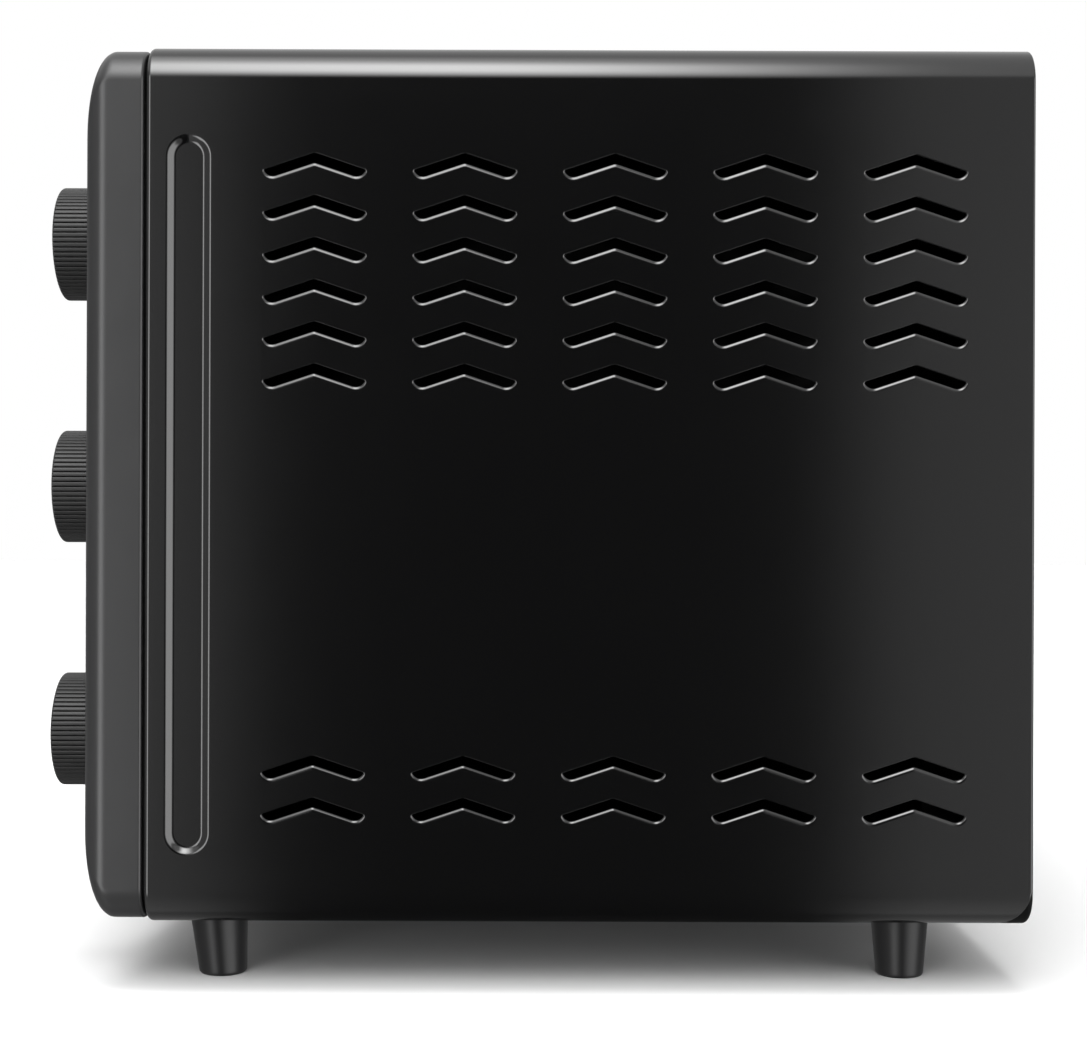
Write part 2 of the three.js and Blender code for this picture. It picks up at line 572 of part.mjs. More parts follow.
function wireRack() {
  const r = RACK;
  const w = RACK_WIRE;
  const rim = [
    wire('x', r.x0, r.x1, r.y0 + w, RACK_Z, w), wire('x', r.x0, r.x1, r.y1 - w, RACK_Z, w),
    wire('y', r.y0, r.y1, r.x0 + w, RACK_Z, w), wire('y', r.y0, r.y1, r.x1 - w, RACK_Z, w),
    wire('x', r.x0 + 1, r.x1 - 1, (r.y0 + r.y1) / 2, RACK_Z - 0.6, 1.6),
  ];
  const bars = 15;
  const pitch = (r.x1 - r.x0) / (bars + 1);
  const grid = [...Array(bars).keys()].map((i) =>
    wire('y', r.y0 + 1, r.y1 - 1, r.x0 + (i + 1) * pitch, RACK_Z + 1.5, 1.3));
  return join(rim[0], ...rim.slice(1), ...grid);
}

const PAN = {
  x: (CAVITY.x0 + CAVITY.x1) / 2, y: 8, half_x: 150, half_y: 116, high: 20, z: RACK_Z + 2.8 + GAP,
};

function bakingPan() {
  const { x, y, half_x, half_y, high, z } = PAN;
  const ring = (h, grow, r) => ringZ(z + h, x, y, half_x + grow, half_y + grow, r);
  const outside = loft([ring(0, -8, 8), ring(high, 0, 14)]);
  const rim = loft([ring(high - 0.8, 5, 18), ring(high, 5, 18)]);
  const hollow = loft([ring(0.8, -8.5, 7.2), ring(high + 1, -0.4, 13.2)]);
  return cut(join(outside, rim), hollow);
}

function crumbTray() {
  const { x0, x1, y0, y1, high, sheet } = TRAY;
  const z0 = CAVITY.z0 + GAP;
  return cut(
    box(x0, x1, y0, y1, z0, z0 + high),
    box(x0 + sheet, x1 - sheet, y0 + sheet, y1 - sheet, z0 + sheet, z0 + high + 1));
}

function crumbTrayFront() {
  const { x0, x1, y0, lip } = TRAY;
  const back = y0 - GAP;
  const plate = box(x0 - lip.side, x1 + lip.side, back - lip.thick, back, lip.z0, lip.z1);
  const middle = (x0 + x1) / 2;
  const pull = box(
    middle - lip.pull / 2, middle + lip.pull / 2, back - lip.thick - lip.reach, back - 1,
    lip.z0, lip.z0 + lip.thick);
  return join(plate, pull);
}

function heatShield() {
  const { gap, foot, thick, z1 } = SHIELD;
  const [x, z0] = [CAVITY.x1 + gap, BOTTOM + 2 * SHEET + 2 * GAP];
  const section = [
    [x, z0], [x + foot, z0], [x + foot, z0 + thick], [x + thick, z0 + thick], [x + thick, z1], [x, z1]];
  return extrude(polygon(section), 'y', FRAME_BACK + SPIGOT_REACH + 2, BACK - 18);
}

const thermalCutout = () =>
  bore('x', CAVITY.x1 + CUTOUT.gap, CAVITY.x1 + CUTOUT.deep, 0, CUTOUT.z, CUTOUT.radius);

function terminalBlock() {
  const { x0, x1, y0, y1, z0, z1 } = TERMINALS;
  return box(x0, x1, y0, y1, z0, z1);
}

// ---------------------------------------------------------------- door

function doorFrame() {
  const [d, w, s] = [DOOR, WINDOW, DOOR_SKIN];
  const slab = extrude(roundedRect(d.x0, d.x1, d.z0, d.z1, 4), 'y', d.y0, d.y1);
  const window = extrude(roundedRect(w.x0, w.x1, w.z0, w.z1, 7), 'y', d.y0 - 1, d.y1 + 1);
  const g = GLASS_REBATE;
  const rebate = box(w.x0 - g, w.x1 + g, d.y1 - GLASS_THICK - 2 * GAP, d.y1 + 1, w.z0 - g, w.z1 + g);
  // hollow from the back, between the outer edge and the wall round the glass
  const hollow = roundedRect(d.x0 + s, d.x1 - s, d.z0 + s, d.z1 - s, 3);
  const wall = g + s;
  hollow.holes.push(roundedRect(w.x0 - wall, w.x1 + wall, w.z0 - wall, w.z1 + wall, 7));
  const pins = [d.x0 - 1, d.x1 - s - 1].map((x) =>
    bore('x', x, x + s + 2, HINGE.y, HINGE.z, HINGE.pin + 0.8));
  return cut(slab, window, rebate, extrude(hollow, 'y', d.y0 + s, d.y1 + 1), ...pins);
}

const doorGlass = () => {
  const g = GLASS_REBATE - GAP;
  return extrude(
    roundedRect(WINDOW.x0 - g, WINDOW.x1 + g, WINDOW.z0 - g, WINDOW.z1 + g, 3),
    'y', DOOR.y1 - GLASS_THICK - GAP, DOOR.y1 - GAP);
};

function glassRetainer() {
  const [d, w] = [DOOR, WINDOW];
  const shape = roundedRect(d.x0 + 3, d.x1 - 3, d.z0 + 14, d.z1 - 6, 4);
  shape.holes.push(roundedRect(w.x0 + 4, w.x1 - 4, w.z0 + 4, w.z1 - 4, 8));
  return extrude(shape, 'y', d.y1 + GAP, d.y1 + GAP + 1);
}

// Hinge hardware on one side; x runs inwards from the door's edge.
function hingeParts(side) {
  const edge = side < 0 ? DOOR.x0 : DOOR.x1;
  const span = (a, b) => [edge - side * a, edge - side * b].sort((p, q) => p - q);
  const tube = (from, to, r0, r1) =>
    turned([[r0, from], [r1, from], [r1, to], [r0, to], [r0, from]], 'x', 16);
  const [p0, p1] = span(-7, 26);
  const pin = turned([[0, p0], [HINGE.pin, p0], [HINGE.pin, p1], [0, p1]], 'x', 12)
    .translate(0, HINGE.y, HINGE.z);
  const [b0, b1] = span(DOOR_SKIN + 2, 12);
  const block = cut(
    box(b0, b1, DOOR.y0 + DOOR_SKIN + GAP, DOOR.y1 - 1, DOOR.z0 + DOOR_SKIN + 2, HINGE.z + 8),
    bore('x', b0 - 1, b1 + 1, HINGE.y, HINGE.z, HINGE.pin + 0.4, 16));
  const spring = tube(...span(13, 25), 3, 4.2).translate(0, HINGE.y, HINGE.z);
  return { pin, block, spring };
}

function handleBar() {
  const { x0, x1, z, deep, high } = HANDLE;
  const front = FRONT - HANDLE_REACH;
  return extrude(roundedRect(front, front + deep, z - high / 2, z + high / 2, 4.5), 'x', x0, x1, 2);
}

function handlePost(x) {
  const y0 = FRONT - HANDLE_REACH + HANDLE.deep + GAP;
  const y1 = DOOR.y0 - GAP;
  return loft([ringY(y0, x, HANDLE.z, 7, 5.5, 3), ringY(y1, x, HANDLE.z, 9, 7.5, 3)]);
}

// ---------------------------------------------------------------- assembly

add('outer_shell', 'case_black', outerShell());
add('base_pan', 'case_black', basePan());
add('back_cover', 'case_black', backCover());
add('front_frame', 'frame_black', frontFrame());
for (const [x, side] of [[-FEET.x, 'left'], [FEET.x, 'right']]) {
  add('foot_front_' + side, 'foot_black', foot(FEET.rake).translate(x, FEET.y_front, 0));
  add('foot_rear_' + side, 'foot_black', foot(0).translate(x, FEET.y_back, 0));
}
add('cord_gland', 'rubber', gland());

add('control_panel', 'panel_black', controlPanel());
add('control_plate', 'steel', controlPlate());
add('timer', 'control_body', timerBody());
add('timer_bell', 'steel', timerBell());
add('function_switch', 'control_body', functionSwitch());
add('thermostat', 'ceramic', thermostat());
add('pilot_lamp', 'lamp', pilotLamp());
KNOB_NAMES.forEach((name, i) => {
  add(name + '_knob', 'knob_black', knob(i));
  add(name + '_knob_cap', 'knob_cap', knobCap(i));
  add(name + '_shaft', 'steel', knobShaft(i));
});

add('oven_cavity', 'liner', ovenCavity());
eachElement((level, row, y, z) => add(`heating_element_${level}_${row}`, 'element', heatingElement(y, z)));
for (const [level, z] of Object.entries(ELEMENT_ZS)) {
  add(`element_bracket_${level}_left`, 'steel', elementBracket(-1, z));
  add(`element_bracket_${level}_right`, 'steel', elementBracket(1, z));
}
add('rack_rail_left', 'liner', rackRail(-1));
add('rack_rail_right', 'liner', rackRail(1));
add('wire_rack', 'chrome', wireRack());
add('baking_pan', 'pan_enamel', bakingPan());
add('crumb_tray', 'case_black', crumbTray());
add('crumb_tray_front', 'case_black', crumbTrayFront());
add('heat_shield', 'case_black', heatShield());
add('thermal_cutout', 'steel', thermalCutout());
add('terminal_block', 'ceramic', terminalBlock());

add('door_frame', 'door_black', doorFrame());
add('door_glass', 'glass', doorGlass());
add('glass_retainer', 'liner', glassRetainer());
for (const [side, name] of [[-1, 'left'], [1, 'right']]) {
  const { pin, block, spring } = hingeParts(side);
  add('hinge_pin_' + name, 'steel', pin);
  add('hinge_block_' + name, 'steel', block);
  add('door_spring_' + name, 'steel', spring);
}
add('door_handle', 'handle', handleBar());
add('handle_post_left', 'handle', handlePost(HANDLE.x0 + HANDLE.post_inset));
add('handle_post_right', 'handle', handlePost(HANDLE.x1 - HANDLE.post_inset));

export default oven;
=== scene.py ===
"""The look of a countertop toaster oven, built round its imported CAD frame.

Metres, +Z up. The front faces -Y and the control column is at +X. Every place is read from the frame, and
every other size is named below in millimetres, times MM.
"""
import json
import math

import bmesh
import bpy
from mathutils import Matrix, Vector


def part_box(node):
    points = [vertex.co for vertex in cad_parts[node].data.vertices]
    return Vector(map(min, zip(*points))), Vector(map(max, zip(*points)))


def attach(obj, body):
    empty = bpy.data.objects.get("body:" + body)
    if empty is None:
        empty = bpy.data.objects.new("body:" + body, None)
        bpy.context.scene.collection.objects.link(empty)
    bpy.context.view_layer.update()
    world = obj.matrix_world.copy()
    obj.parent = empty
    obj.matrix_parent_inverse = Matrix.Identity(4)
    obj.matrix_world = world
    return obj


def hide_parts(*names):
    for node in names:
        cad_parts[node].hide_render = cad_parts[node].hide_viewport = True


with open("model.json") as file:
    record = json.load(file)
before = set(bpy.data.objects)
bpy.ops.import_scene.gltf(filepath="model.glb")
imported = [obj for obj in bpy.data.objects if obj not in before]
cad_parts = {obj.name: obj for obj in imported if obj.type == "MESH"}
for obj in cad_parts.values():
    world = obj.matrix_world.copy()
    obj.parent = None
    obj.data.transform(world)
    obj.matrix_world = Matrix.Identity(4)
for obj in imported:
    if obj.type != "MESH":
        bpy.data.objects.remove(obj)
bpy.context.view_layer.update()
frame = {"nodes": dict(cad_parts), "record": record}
MM = 0.001

# ---------------------------------------------------------------- sizes read from the frame

SHELL_LO, SHELL_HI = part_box("outer_shell")
BEZEL_LO, BEZEL_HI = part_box("front_frame")
PANEL_LO, PANEL_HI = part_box("control_panel")
DOOR_LO, DOOR_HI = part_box("door_frame")
GLASS_LO, GLASS_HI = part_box("door_glass")
COVER_LO, COVER_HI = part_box("back_cover")
KNOBS = ["timer", "function", "temperature"]
FRONT = BEZEL_LO.y
MIDDLE_Z = (SHELL_LO.z + SHELL_HI.z) / 2

# ---------------------------------------------------------------- other sizes

SHEET = 0.7 * MM
CASE_RADIUS = 13.5 * MM
LIP = 7 * MM  # how far the case turns under at the bottom, past its rounding
VENT = {"y": 82.8 * MM, "pitch_y": 53.43 * MM, "columns": 5, "pitch_z": 14.97 * MM, "half_width": 17.95 * MM,
        "above": 2.05 * MM, "below": 1.25 * MM, "slope": 0.335, "tuck": 1.4 * MM}
VENT_ROUNDS = {"foot": 3.2 * MM, "peak": 2.2 * MM, "crest": 1.8 * MM, "tip": 0.4 * MM}  # corners of a vent
VENT_BEND = 0.9 * MM  # radius of the sheet's bend into a vent
VENT_LIP = 0.7 * MM  # how much further that bend reaches along a vent's lower edges
VENT_TOPS = [(296.9 * MM, 6), (82.8 * MM, 2)]  # middle of each block's highest row, and how many rows it has
RECESS = {"y": 38.1 * MM, "z0": 49 * MM, "z1": 305.6 * MM, "half_width": 8.1 * MM, "deep": 1.2 * MM,
          "wall": 3.3 * MM}
CASE_EDGE = SHELL_LO.y - 0.6 * MM  # the case's front edge, a little nearer to the frame than its CAD solid
CASE_CORNER = {"deep": 12.5 * MM, "high": 17 * MM}  # how much is rounded off each side's lower back corner
FRAME_DEPTH = 21.9 * MM
FRAME_CORNER = 13 * MM
FRAME_SIDE_ROUND = 8.4 * MM
FRAME_END_ROUND = (10.6 * MM, 25 * MM)  # depth and height of the curve towards the top and the bottom
FRAME_WALL = 3 * MM
FRAME_SPIGOT = 12 * MM  # reach of the collar behind the frame, which the case slips over
FOOT = {"top": 10.8 * MM, "sole": 8.85 * MM, "rake": 1.8 * MM}  # radii, and how far the front feet lean back
COVER_SLOTS = {"across": range(-180, 181, 60), "up": (200, 186, 172, 110, 96), "long": 38 * MM,
               "wide": 4 * MM}  # their places across and up are in millimetres
KNOB = {"ribs": 72, "groove": 0.75 * MM, "edge": 0.8 * MM, "dome": 0.9 * MM, "cap_rim": 0.25 * MM}
SCALE = {"tick": (24.5 * MM, 26.5 * MM), "stop": (24.2 * MM, 27.2 * MM), "number": 32 * MM,
         "mark": 34 * MM}  # distances from a knob's middle
PRINTED = {"digit": 5 * MM, "half_mark": 3.4 * MM, "fine": 0.4 * MM, "tick": 0.45 * MM, "bold": 0.7 * MM}
INK = 0.06 * MM  # thickness of the print
ELEMENT = {"rod": 3.5 * MM, "rod_ends": (-228 * MM, 120 * MM), "insulator": 5.5 * MM,
           "insulator_long": 8 * MM, "insulator_edge": 0.8 * MM, "pin": 1.5 * MM}  # the ends are along X
SPRING = {"turns": 9, "wire": 0.55 * MM}
RACK = {"rim": 2.4 * MM, "corner": 9 * MM, "bars": 15, "bar": 1.3 * MM, "brace": 1.6 * MM}  # wires' radii
PAN = {"rim": 5 * MM, "sheet": 0.8 * MM, "foot_round": 5 * MM, "slant": 6 * MM, "floor_corner": 20 * MM,
       "rim_corner": 17 * MM}
TRAY_FRONT = {"thick": 1.8 * MM, "reach": 8 * MM, "half_pull": 45 * MM}
OPENING_GAP = 1.5 * MM  # between the door and its opening

# light, in radiances, by direction
WALLS, FAR_WALL, CEILING, DARK = 0.35, 0.2, 0.85, 0.02
STRIPE = (-0.207, -0.14, 0.143, 0.205)  # where along Y the dark stripe starts, is darkest and ends
FRONT_BOX = {"bearings": [math.radians(d) for d in (-46, -38, -24, -17)], "radiance": 3.2}
REAR_BOX = {"bearings": [math.radians(d) for d in (17, 30, 66, 76)], "radiance": 2.3}
BOX_UP = (-0.55, -0.35, 0.3, 0.45)  # heights between which the two softboxes fade in and out
KEY = {"across": (-0.55, -0.08, -0.04, 0.22), "up": (0.3, 0.72, 0.8, 1.05), "radiance": 7.5}


# ---------------------------------------------------------------- building meshes

class Shape:
    """A mesh being built, with the few moves that the pieces below need."""

    def __init__(self):
        self.mesh = bmesh.new()

    def ring(self, points):
        return [self.mesh.verts.new(p) for p in points]

    def face(self, corners):
        return self.mesh.faces.new(corners)

    def bridge(self, a, b, closed=True, skip=()):
        for i in range(len(a) if closed else len(a) - 1):
            if i not in skip:
                j = (i + 1) % len(a)
                self.face((a[i], a[j], b[j], b[i]))

    def join(self, rows, closed=True):
        for a, b in zip(rows, rows[1:]):
            self.bridge(a, b, closed)

    def loft(self, rings, ends=(True, True)):
        rows = [self.ring(points) for points in rings]
        self.join(rows)
        for end, row in zip(ends, (rows[0], rows[-1])):
            if end:
                self.face(row)
        return rows

    def fill(self, loops):
        """Fills the flat area inside the first loop and outside the others."""
        edges = []
        for loop in loops:
            for a, b in zip(loop, loop[1:] + loop[:1]):
                edges.append(self.mesh.edges.get((a, b)) or self.mesh.edges.new((a, b)))
        bmesh.ops.triangle_fill(self.mesh, use_beauty=True, use_dissolve=False, edges=edges)

    def turn(self, profile, place, segments=48):
        """Turns a profile of (radius, distance) points; `place` puts (across, up, along) in the row frame."""
        rings = []
        for radius, along in profile:
            angles = [2 * math.pi * i / segments for i in range(segments)]
            rings.append([place(radius * math.cos(t), radius * math.sin(t), along) for t in angles])
        closed = profile[0] == profile[-1]
        self.loft(rings, ends=(not closed and profile[0][0] > 0, not closed and profile[-1][0] > 0))

    def tube(self, path, radius, closed=False, sides=12):
        """A round wire along a path of points."""
        count = len(path)
        rings = []
        side = None
        for i, here in enumerate(path):
            after = path[(i + 1) % count] if closed or i + 1 < count else here
            before = path[i - 1] if closed or i > 0 else here
            along = (after - before).normalized()
            side = along.orthogonal() if side is None else side - along * side.dot(along)
            side.normalize()
            up = along.cross(side)
            angles = [2 * math.pi * k / sides for k in range(sides)]
            rings.append([here + (side * math.cos(t) + up * math.sin(t)) * radius for t in angles])
        rows = self.loft(rings, ends=(not closed, not closed))
        if closed:
            self.bridge(rows[-1], rows[0])

    def finished(self, name, sharp=35):
        """The Blender mesh, welded, facing out, smooth except at edges sharper than `sharp` degrees."""
        bmesh.ops.remove_doubles(self.mesh, verts=self.mesh.verts, dist=0.004 * MM)
        bmesh.ops.dissolve_degenerate(self.mesh, edges=self.mesh.edges, dist=0.002 * MM)
        bmesh.ops.recalc_face_normals(self.mesh, faces=self.mesh.faces)
        for face in self.mesh.faces:
            face.smooth = True
        mesh = bpy.data.meshes.new(name)
        self.mesh.to_mesh(mesh)
        self.mesh.free()
        mesh.set_sharp_from_angle(angle=math.radians(sharp))
        return mesh


def piece(name, mesh, material, body, stands_for=()):
    """Shows a mesh as a piece that rides on a body, in place of the CAD nodes that it stands for."""
    made = bpy.data.objects.new(name, mesh)
    bpy.context.collection.objects.link(made)
    if not mesh.materials:
        mesh.materials.append(material)
    made.modifiers.new("even_normals", "WEIGHTED_NORMAL").keep_sharp = True
    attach(made, body)
    if stands_for:
        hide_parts(*stands_for)
    return made


def outline(corners, radii, grow=0.0, steps=5):
    """A closed outline with a round at each corner, drawn `grow` outside the given anticlockwise corners."""
    points = []
    count = len(corners)
    for i, here in enumerate(corners):
        here = Vector(here)
        into = (here - Vector(corners[i - 1])).normalized()
        away = (Vector(corners[(i + 1) % count]) - here).normalized()
        turn = math.atan2(into.cross(away), into.dot(away))
        out_into = Vector((into.y, -into.x))
        out_away = Vector((away.y, -away.x))
        mitre = (out_into + out_away) / (1 + out_into.dot(out_away))
        bulges = turn > 0
        radius = max(radii[i] + (grow if bulges else -grow), 0.05 * MM)
        sign = 1 if bulges else -1
        centre = here + mitre * (grow - sign * radius)
        for k in range(steps + 1):
            points.append(centre + Matrix.Rotation(turn * k / steps, 2) @ out_into * sign * radius)
    return points


def rectangle(u0, u1, v0, v1, radius, grow=0.0, steps=8):
    return outline([(u0, v0), (u1, v0), (u1, v1), (u0, v1)], [radius] * 4, grow, steps)


def quarter(radius, steps=5):
    """(outwards, inwards) along the quarter round between a face and the wall of a hole in it."""
    angles = [math.pi / 2 * k / steps for k in range(steps + 1)]
    return [(radius * (1 - math.sin(t)), radius * (1 - math.cos(t))) for t in angles]


def facing_front(points, y):
    return [Vector((u, y, v)) for u, v in points]


def facing_side(points, x):
    return [Vector((x, u, v)) for u, v in points]


def towards_front(centre):
    """Places a turned piece whose axis runs along Y; distances count towards the front."""
    return lambda u, v, w: Vector((centre.x + u, centre.y - w, centre.z + v))


def towards_side(centre):
    return lambda u, v, w: Vector((centre.x + w, centre.y + u, centre.z + v))


def upwards(centre):
    return lambda u, v, w: Vector((centre.x + u, centre.y + v, centre.z + w))


def middle(node):
    lo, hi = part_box(node)
    return (lo + hi) / 2


# ---------------------------------------------------------------- materials

def surface(name, color, roughness, metallic=0.0, mottle=0.12, patch=60 * MM, spread=0.05, grain=0.0,
            grain_size=0.5 * MM, stretch=(1, 1, 1), **sockets):
    """A finish whose colour and gloss wander over patches, with a fine grain that `stretch` can draw out."""
    material = bpy.data.materials.new(name)
    material.use_nodes = True
    nodes, links = material.node_tree.nodes, material.node_tree.links
    shader = nodes["Principled BSDF"]
    shader.inputs["Metallic"].default_value = metallic
    for socket, value in sockets.items():
        shader.inputs[socket.replace("_", " ")].default_value = value

    place = nodes.new("ShaderNodeTexCoord").outputs["Object"]

    def noise(size, detail, source):
        node = nodes.new("ShaderNodeTexNoise")
        node.inputs["Scale"].default_value = 1 / size
        node.inputs["Detail"].default_value = detail
        links.new(source, node.inputs["Vector"])
        return node.outputs["Fac"]

    wander = noise(patch, 3, place)
    shade = nodes.new("ShaderNodeMix")
    shade.data_type = "RGBA"
    shade.inputs["A"].default_value = [c * (1 - mottle) for c in color] + [1]
    shade.inputs["B"].default_value = [min(c * (1 + mottle), 1) for c in color] + [1]
    links.new(wander, shade.inputs["Factor"])
    links.new(shade.outputs["Result"], shader.inputs["Base Color"])

    gloss = nodes.new("ShaderNodeMapRange")
    gloss.inputs["To Min"].default_value = roughness - spread
    gloss.inputs["To Max"].default_value = roughness + spread
    links.new(noise(patch / 5, 4, place), gloss.inputs["Value"])
    links.new(gloss.outputs["Result"], shader.inputs["Roughness"])

    if grain:
        drawn = nodes.new("ShaderNodeMapping")
        drawn.inputs["Scale"].default_value = stretch
        links.new(place, drawn.inputs["Vector"])
        bump = nodes.new("ShaderNodeBump")
        bump.inputs["Strength"].default_value = 1.0
        bump.inputs["Distance"].default_value = grain
        links.new(noise(grain_size, 3, drawn.outputs["Vector"]), bump.inputs["Height"])
        links.new(bump.outputs["Normal"], shader.inputs["Normal"])
    return material


BLACK = (0.0019, 0.0019, 0.002)
ALONG_X = (0.03, 1, 1)  # stretch of a grain brushed along X
MATERIALS = {
    "case_black": surface("case_paint", BLACK, 0.12, spread=0.012, grain=0.0012 * MM, grain_size=1.6 * MM,
                          Specular_IOR_Level=1.0),
    "frame_black": surface("bezel_plastic", (0.0165, 0.0165, 0.017), 0.3, spread=0.03, grain=0.002 * MM,
                           grain_size=0.7 * MM, Specular_IOR_Level=0.65),
    "door_black": surface("door_paint", BLACK, 0.16, spread=0.02, grain=0.001 * MM, grain_size=1.4 * MM,
                          Specular_IOR_Level=1.0),
    "panel_black": surface("panel_paint", BLACK, 0.2, spread=0.02, grain=0.001 * MM, grain_size=1.4 * MM,
                           Specular_IOR_Level=1.0),
    "foot_black": surface("foot_plastic", (0.006, 0.006, 0.0065), 0.38, grain=0.003 * MM),
    "rubber": surface("rubber", (0.012, 0.012, 0.012), 0.72, grain=0.01 * MM),
    "knob_black": surface("knob_plastic", (0.011, 0.011, 0.011), 0.4, grain=0.003 * MM,
                          grain_size=0.4 * MM),
    "knob_cap": surface("spun_metal", (0.62, 0.62, 0.61), 0.24, 1.0, 0.05, spread=0.05, grain=0.003 * MM,
                        grain_size=0.25 * MM),
    "liner": surface("aluminised_steel", (0.42, 0.42, 0.41), 0.36, 1.0, 0.14, 30 * MM, 0.08, 0.004 * MM,
                     1.2 * MM),
    "steel": surface("zinc_plate", (0.55, 0.55, 0.54), 0.3, 1.0, 0.12, 12 * MM, 0.08, 0.003 * MM),
    "chrome": surface("chrome_wire", (0.66, 0.66, 0.67), 0.12, 1.0, 0.06, 25 * MM, 0.04),
    "element": surface("element_sheath", (0.16, 0.145, 0.135), 0.5, 0.7, 0.3, 14 * MM, 0.12, 0.01 * MM),
    "pan_enamel": surface("pan_enamel", (0.012, 0.012, 0.014), 0.2, 0.0, 0.2, 30 * MM, 0.05, 0.004 * MM,
                          2 * MM),
    "handle": surface("brushed_handle", (0.5, 0.5, 0.495), 0.27, 1.0, 0.05, spread=0.05, grain=0.006 * MM,
                      grain_size=0.3 * MM, stretch=ALONG_X),
    "ceramic": surface("ceramic", (0.7, 0.66, 0.58), 0.65, 0.0, 0.1, 9 * MM, grain=0.02 * MM),
    "control_body": surface("moulded_body", (0.5, 0.46, 0.36), 0.55, grain=0.01 * MM),
    "lamp": surface("lamp_lens", (0.45, 0.03, 0.015), 0.15, Transmission_Weight=0.4, Coat_Weight=0.5),
    "glass": surface("door_glass", (0.5, 0.52, 0.52), 0.03, 0.0, 0.06, 80 * MM, 0.012, IOR=1.5,
                     Transmission_Weight=1.0),
}
COVER_PAINT = surface("cover_paint", BLACK, 0.5, spread=0.04, grain=0.002 * MM, grain_size=1.2 * MM,
                      Specular_IOR_Level=0.15)
PRINT = surface("scale_print", (0.55, 0.55, 0.54), 0.5, mottle=0.05, patch=4 * MM)
# near-black foam laid in the frame/case joint: painted shade, a dark strip put where the gap would only be in
# shade
GAP_SHADE_FOAM = surface("gap_shade_foam", (0.003, 0.003, 0.003), 0.95, mottle=0.2, patch=3 * MM, grain=0.03 * MM,
               Specular_IOR_Level=0.15)
SHEATH = surface("insulator", (0.74, 0.7, 0.62), 0.6, mottle=0.08, patch=6 * MM, grain=0.015 * MM)


# ---------------------------------------------------------------- case

def lower_back_setback(z):
    """How far the case's back edge is cut forward at height z, round its lower back corner."""
    below = max(SHELL_LO.z + CASE_CORNER["high"] - z, 0) / CASE_CORNER["high"]
    return CASE_CORNER["deep"] * (1 - math.sqrt(1 - below**2))


def wrap(inset, steps=10):
    """The case's section as (x, z), from one bottom lip over the top to the other."""
    radius = CASE_RADIUS - inset
    centre_x = SHELL_HI.x - CASE_RADIUS
    centres = [(-centre_x, SHELL_LO.z + CASE_RADIUS), (-centre_x, SHELL_HI.z - CASE_RADIUS),
               (centre_x, SHELL_HI.z - CASE_RADIUS), (centre_x, SHELL_LO.z + CASE_RADIUS)]
    points = [(LIP - centre_x, SHELL_LO.z + inset)]
    for q, (x, z) in enumerate(centres):
        for k in range(steps + 1):
            angle = -math.pi / 2 * (1 + q + k / steps)
            points.append((x + radius * math.cos(angle), z + radius * math.sin(angle)))
    points.append((centre_x - LIP, SHELL_LO.z + inset))
    return points


def chevron(y, z, grow, droop):
    """A vent's outline, `grow` outside its hole, less above and `droop` more below: two arms and a peak."""
    wide, slope, rounds = VENT["half_width"], VENT["slope"], VENT_ROUNDS
    high = VENT["above"] - 0.6 * grow
    low = -VENT["below"] - droop
    end = wide - VENT["tuck"]  # the lower end corners lie inside the upper ones
    corners = [(-end, low - end * slope), (0, low), (end, low - end * slope), (wide, high - wide * slope),
               (0, high), (-wide, high - wide * slope)]
    radii = [rounds[name] for name in ("foot", "peak", "foot", "tip", "crest", "tip")]
    return outline([(y + u, z + v) for u, v in corners], radii, grow)


def vent_places():
    for top, rows in VENT_TOPS:
        for row in range(rows):
            for column in range(VENT["columns"]):
                yield FRONT + VENT["y"] + column * VENT["pitch_y"], top - row * VENT["pitch_z"]


def vent_rim():
    """(outwards, inwards, droop) along a vent's bent-in edge, and back to the inside of the sheet."""
    rim = [(g, d, VENT_LIP * g / VENT_BEND) for g, d in quarter(VENT_BEND, 7)]
    return rim + [(0, 1.5 * MM, 0), (0.5 * MM, 1.5 * MM, 0.3 * MM), (VENT_BEND, 1.2 * MM, 0.8 * MM),
                  (VENT_BEND + 0.8 * MM, SHEET, VENT_LIP)]


def recess_fall(steps=16):
    """(outwards, inwards) down the recess's wall, which falls like half a wave."""
    return [(-RECESS["wall"] * k / steps, RECESS["deep"] * (1 - math.cos(math.pi * k / steps)) / 2)
            for k in range(steps + 1)]


def pierce_side(shape, side):
    """Makes one side's vents and recess, and returns their loops in its outer and its inner skin."""
    outer_loops, inner_loops = [], []
    for y, z in vent_places():
        rings = [shape.ring(facing_side(chevron(y, z, g, low), side * (SHELL_HI.x - d)))
                 for g, d, low in vent_rim()]
        shape.join(rings)
        outer_loops.append(rings[0])
        inner_loops.append(rings[-1])
    wide = RECESS["half_width"]
    centre = FRONT + RECESS["y"]
    for skin, loops in ((0, outer_loops), (SHEET, inner_loops)):
        rings = []
        for g, d in recess_fall():
            points = rectangle(centre - wide, centre + wide, RECESS["z0"], RECESS["z1"], wide - 0.01 * MM,
                               g + skin / 2, 14)
            rings.append(shape.ring(facing_side(points, side * (SHELL_HI.x - d - skin))))
        shape.join(rings)
        shape.face(rings[-1])
        loops.append(rings[0])
    return outer_loops, inner_loops


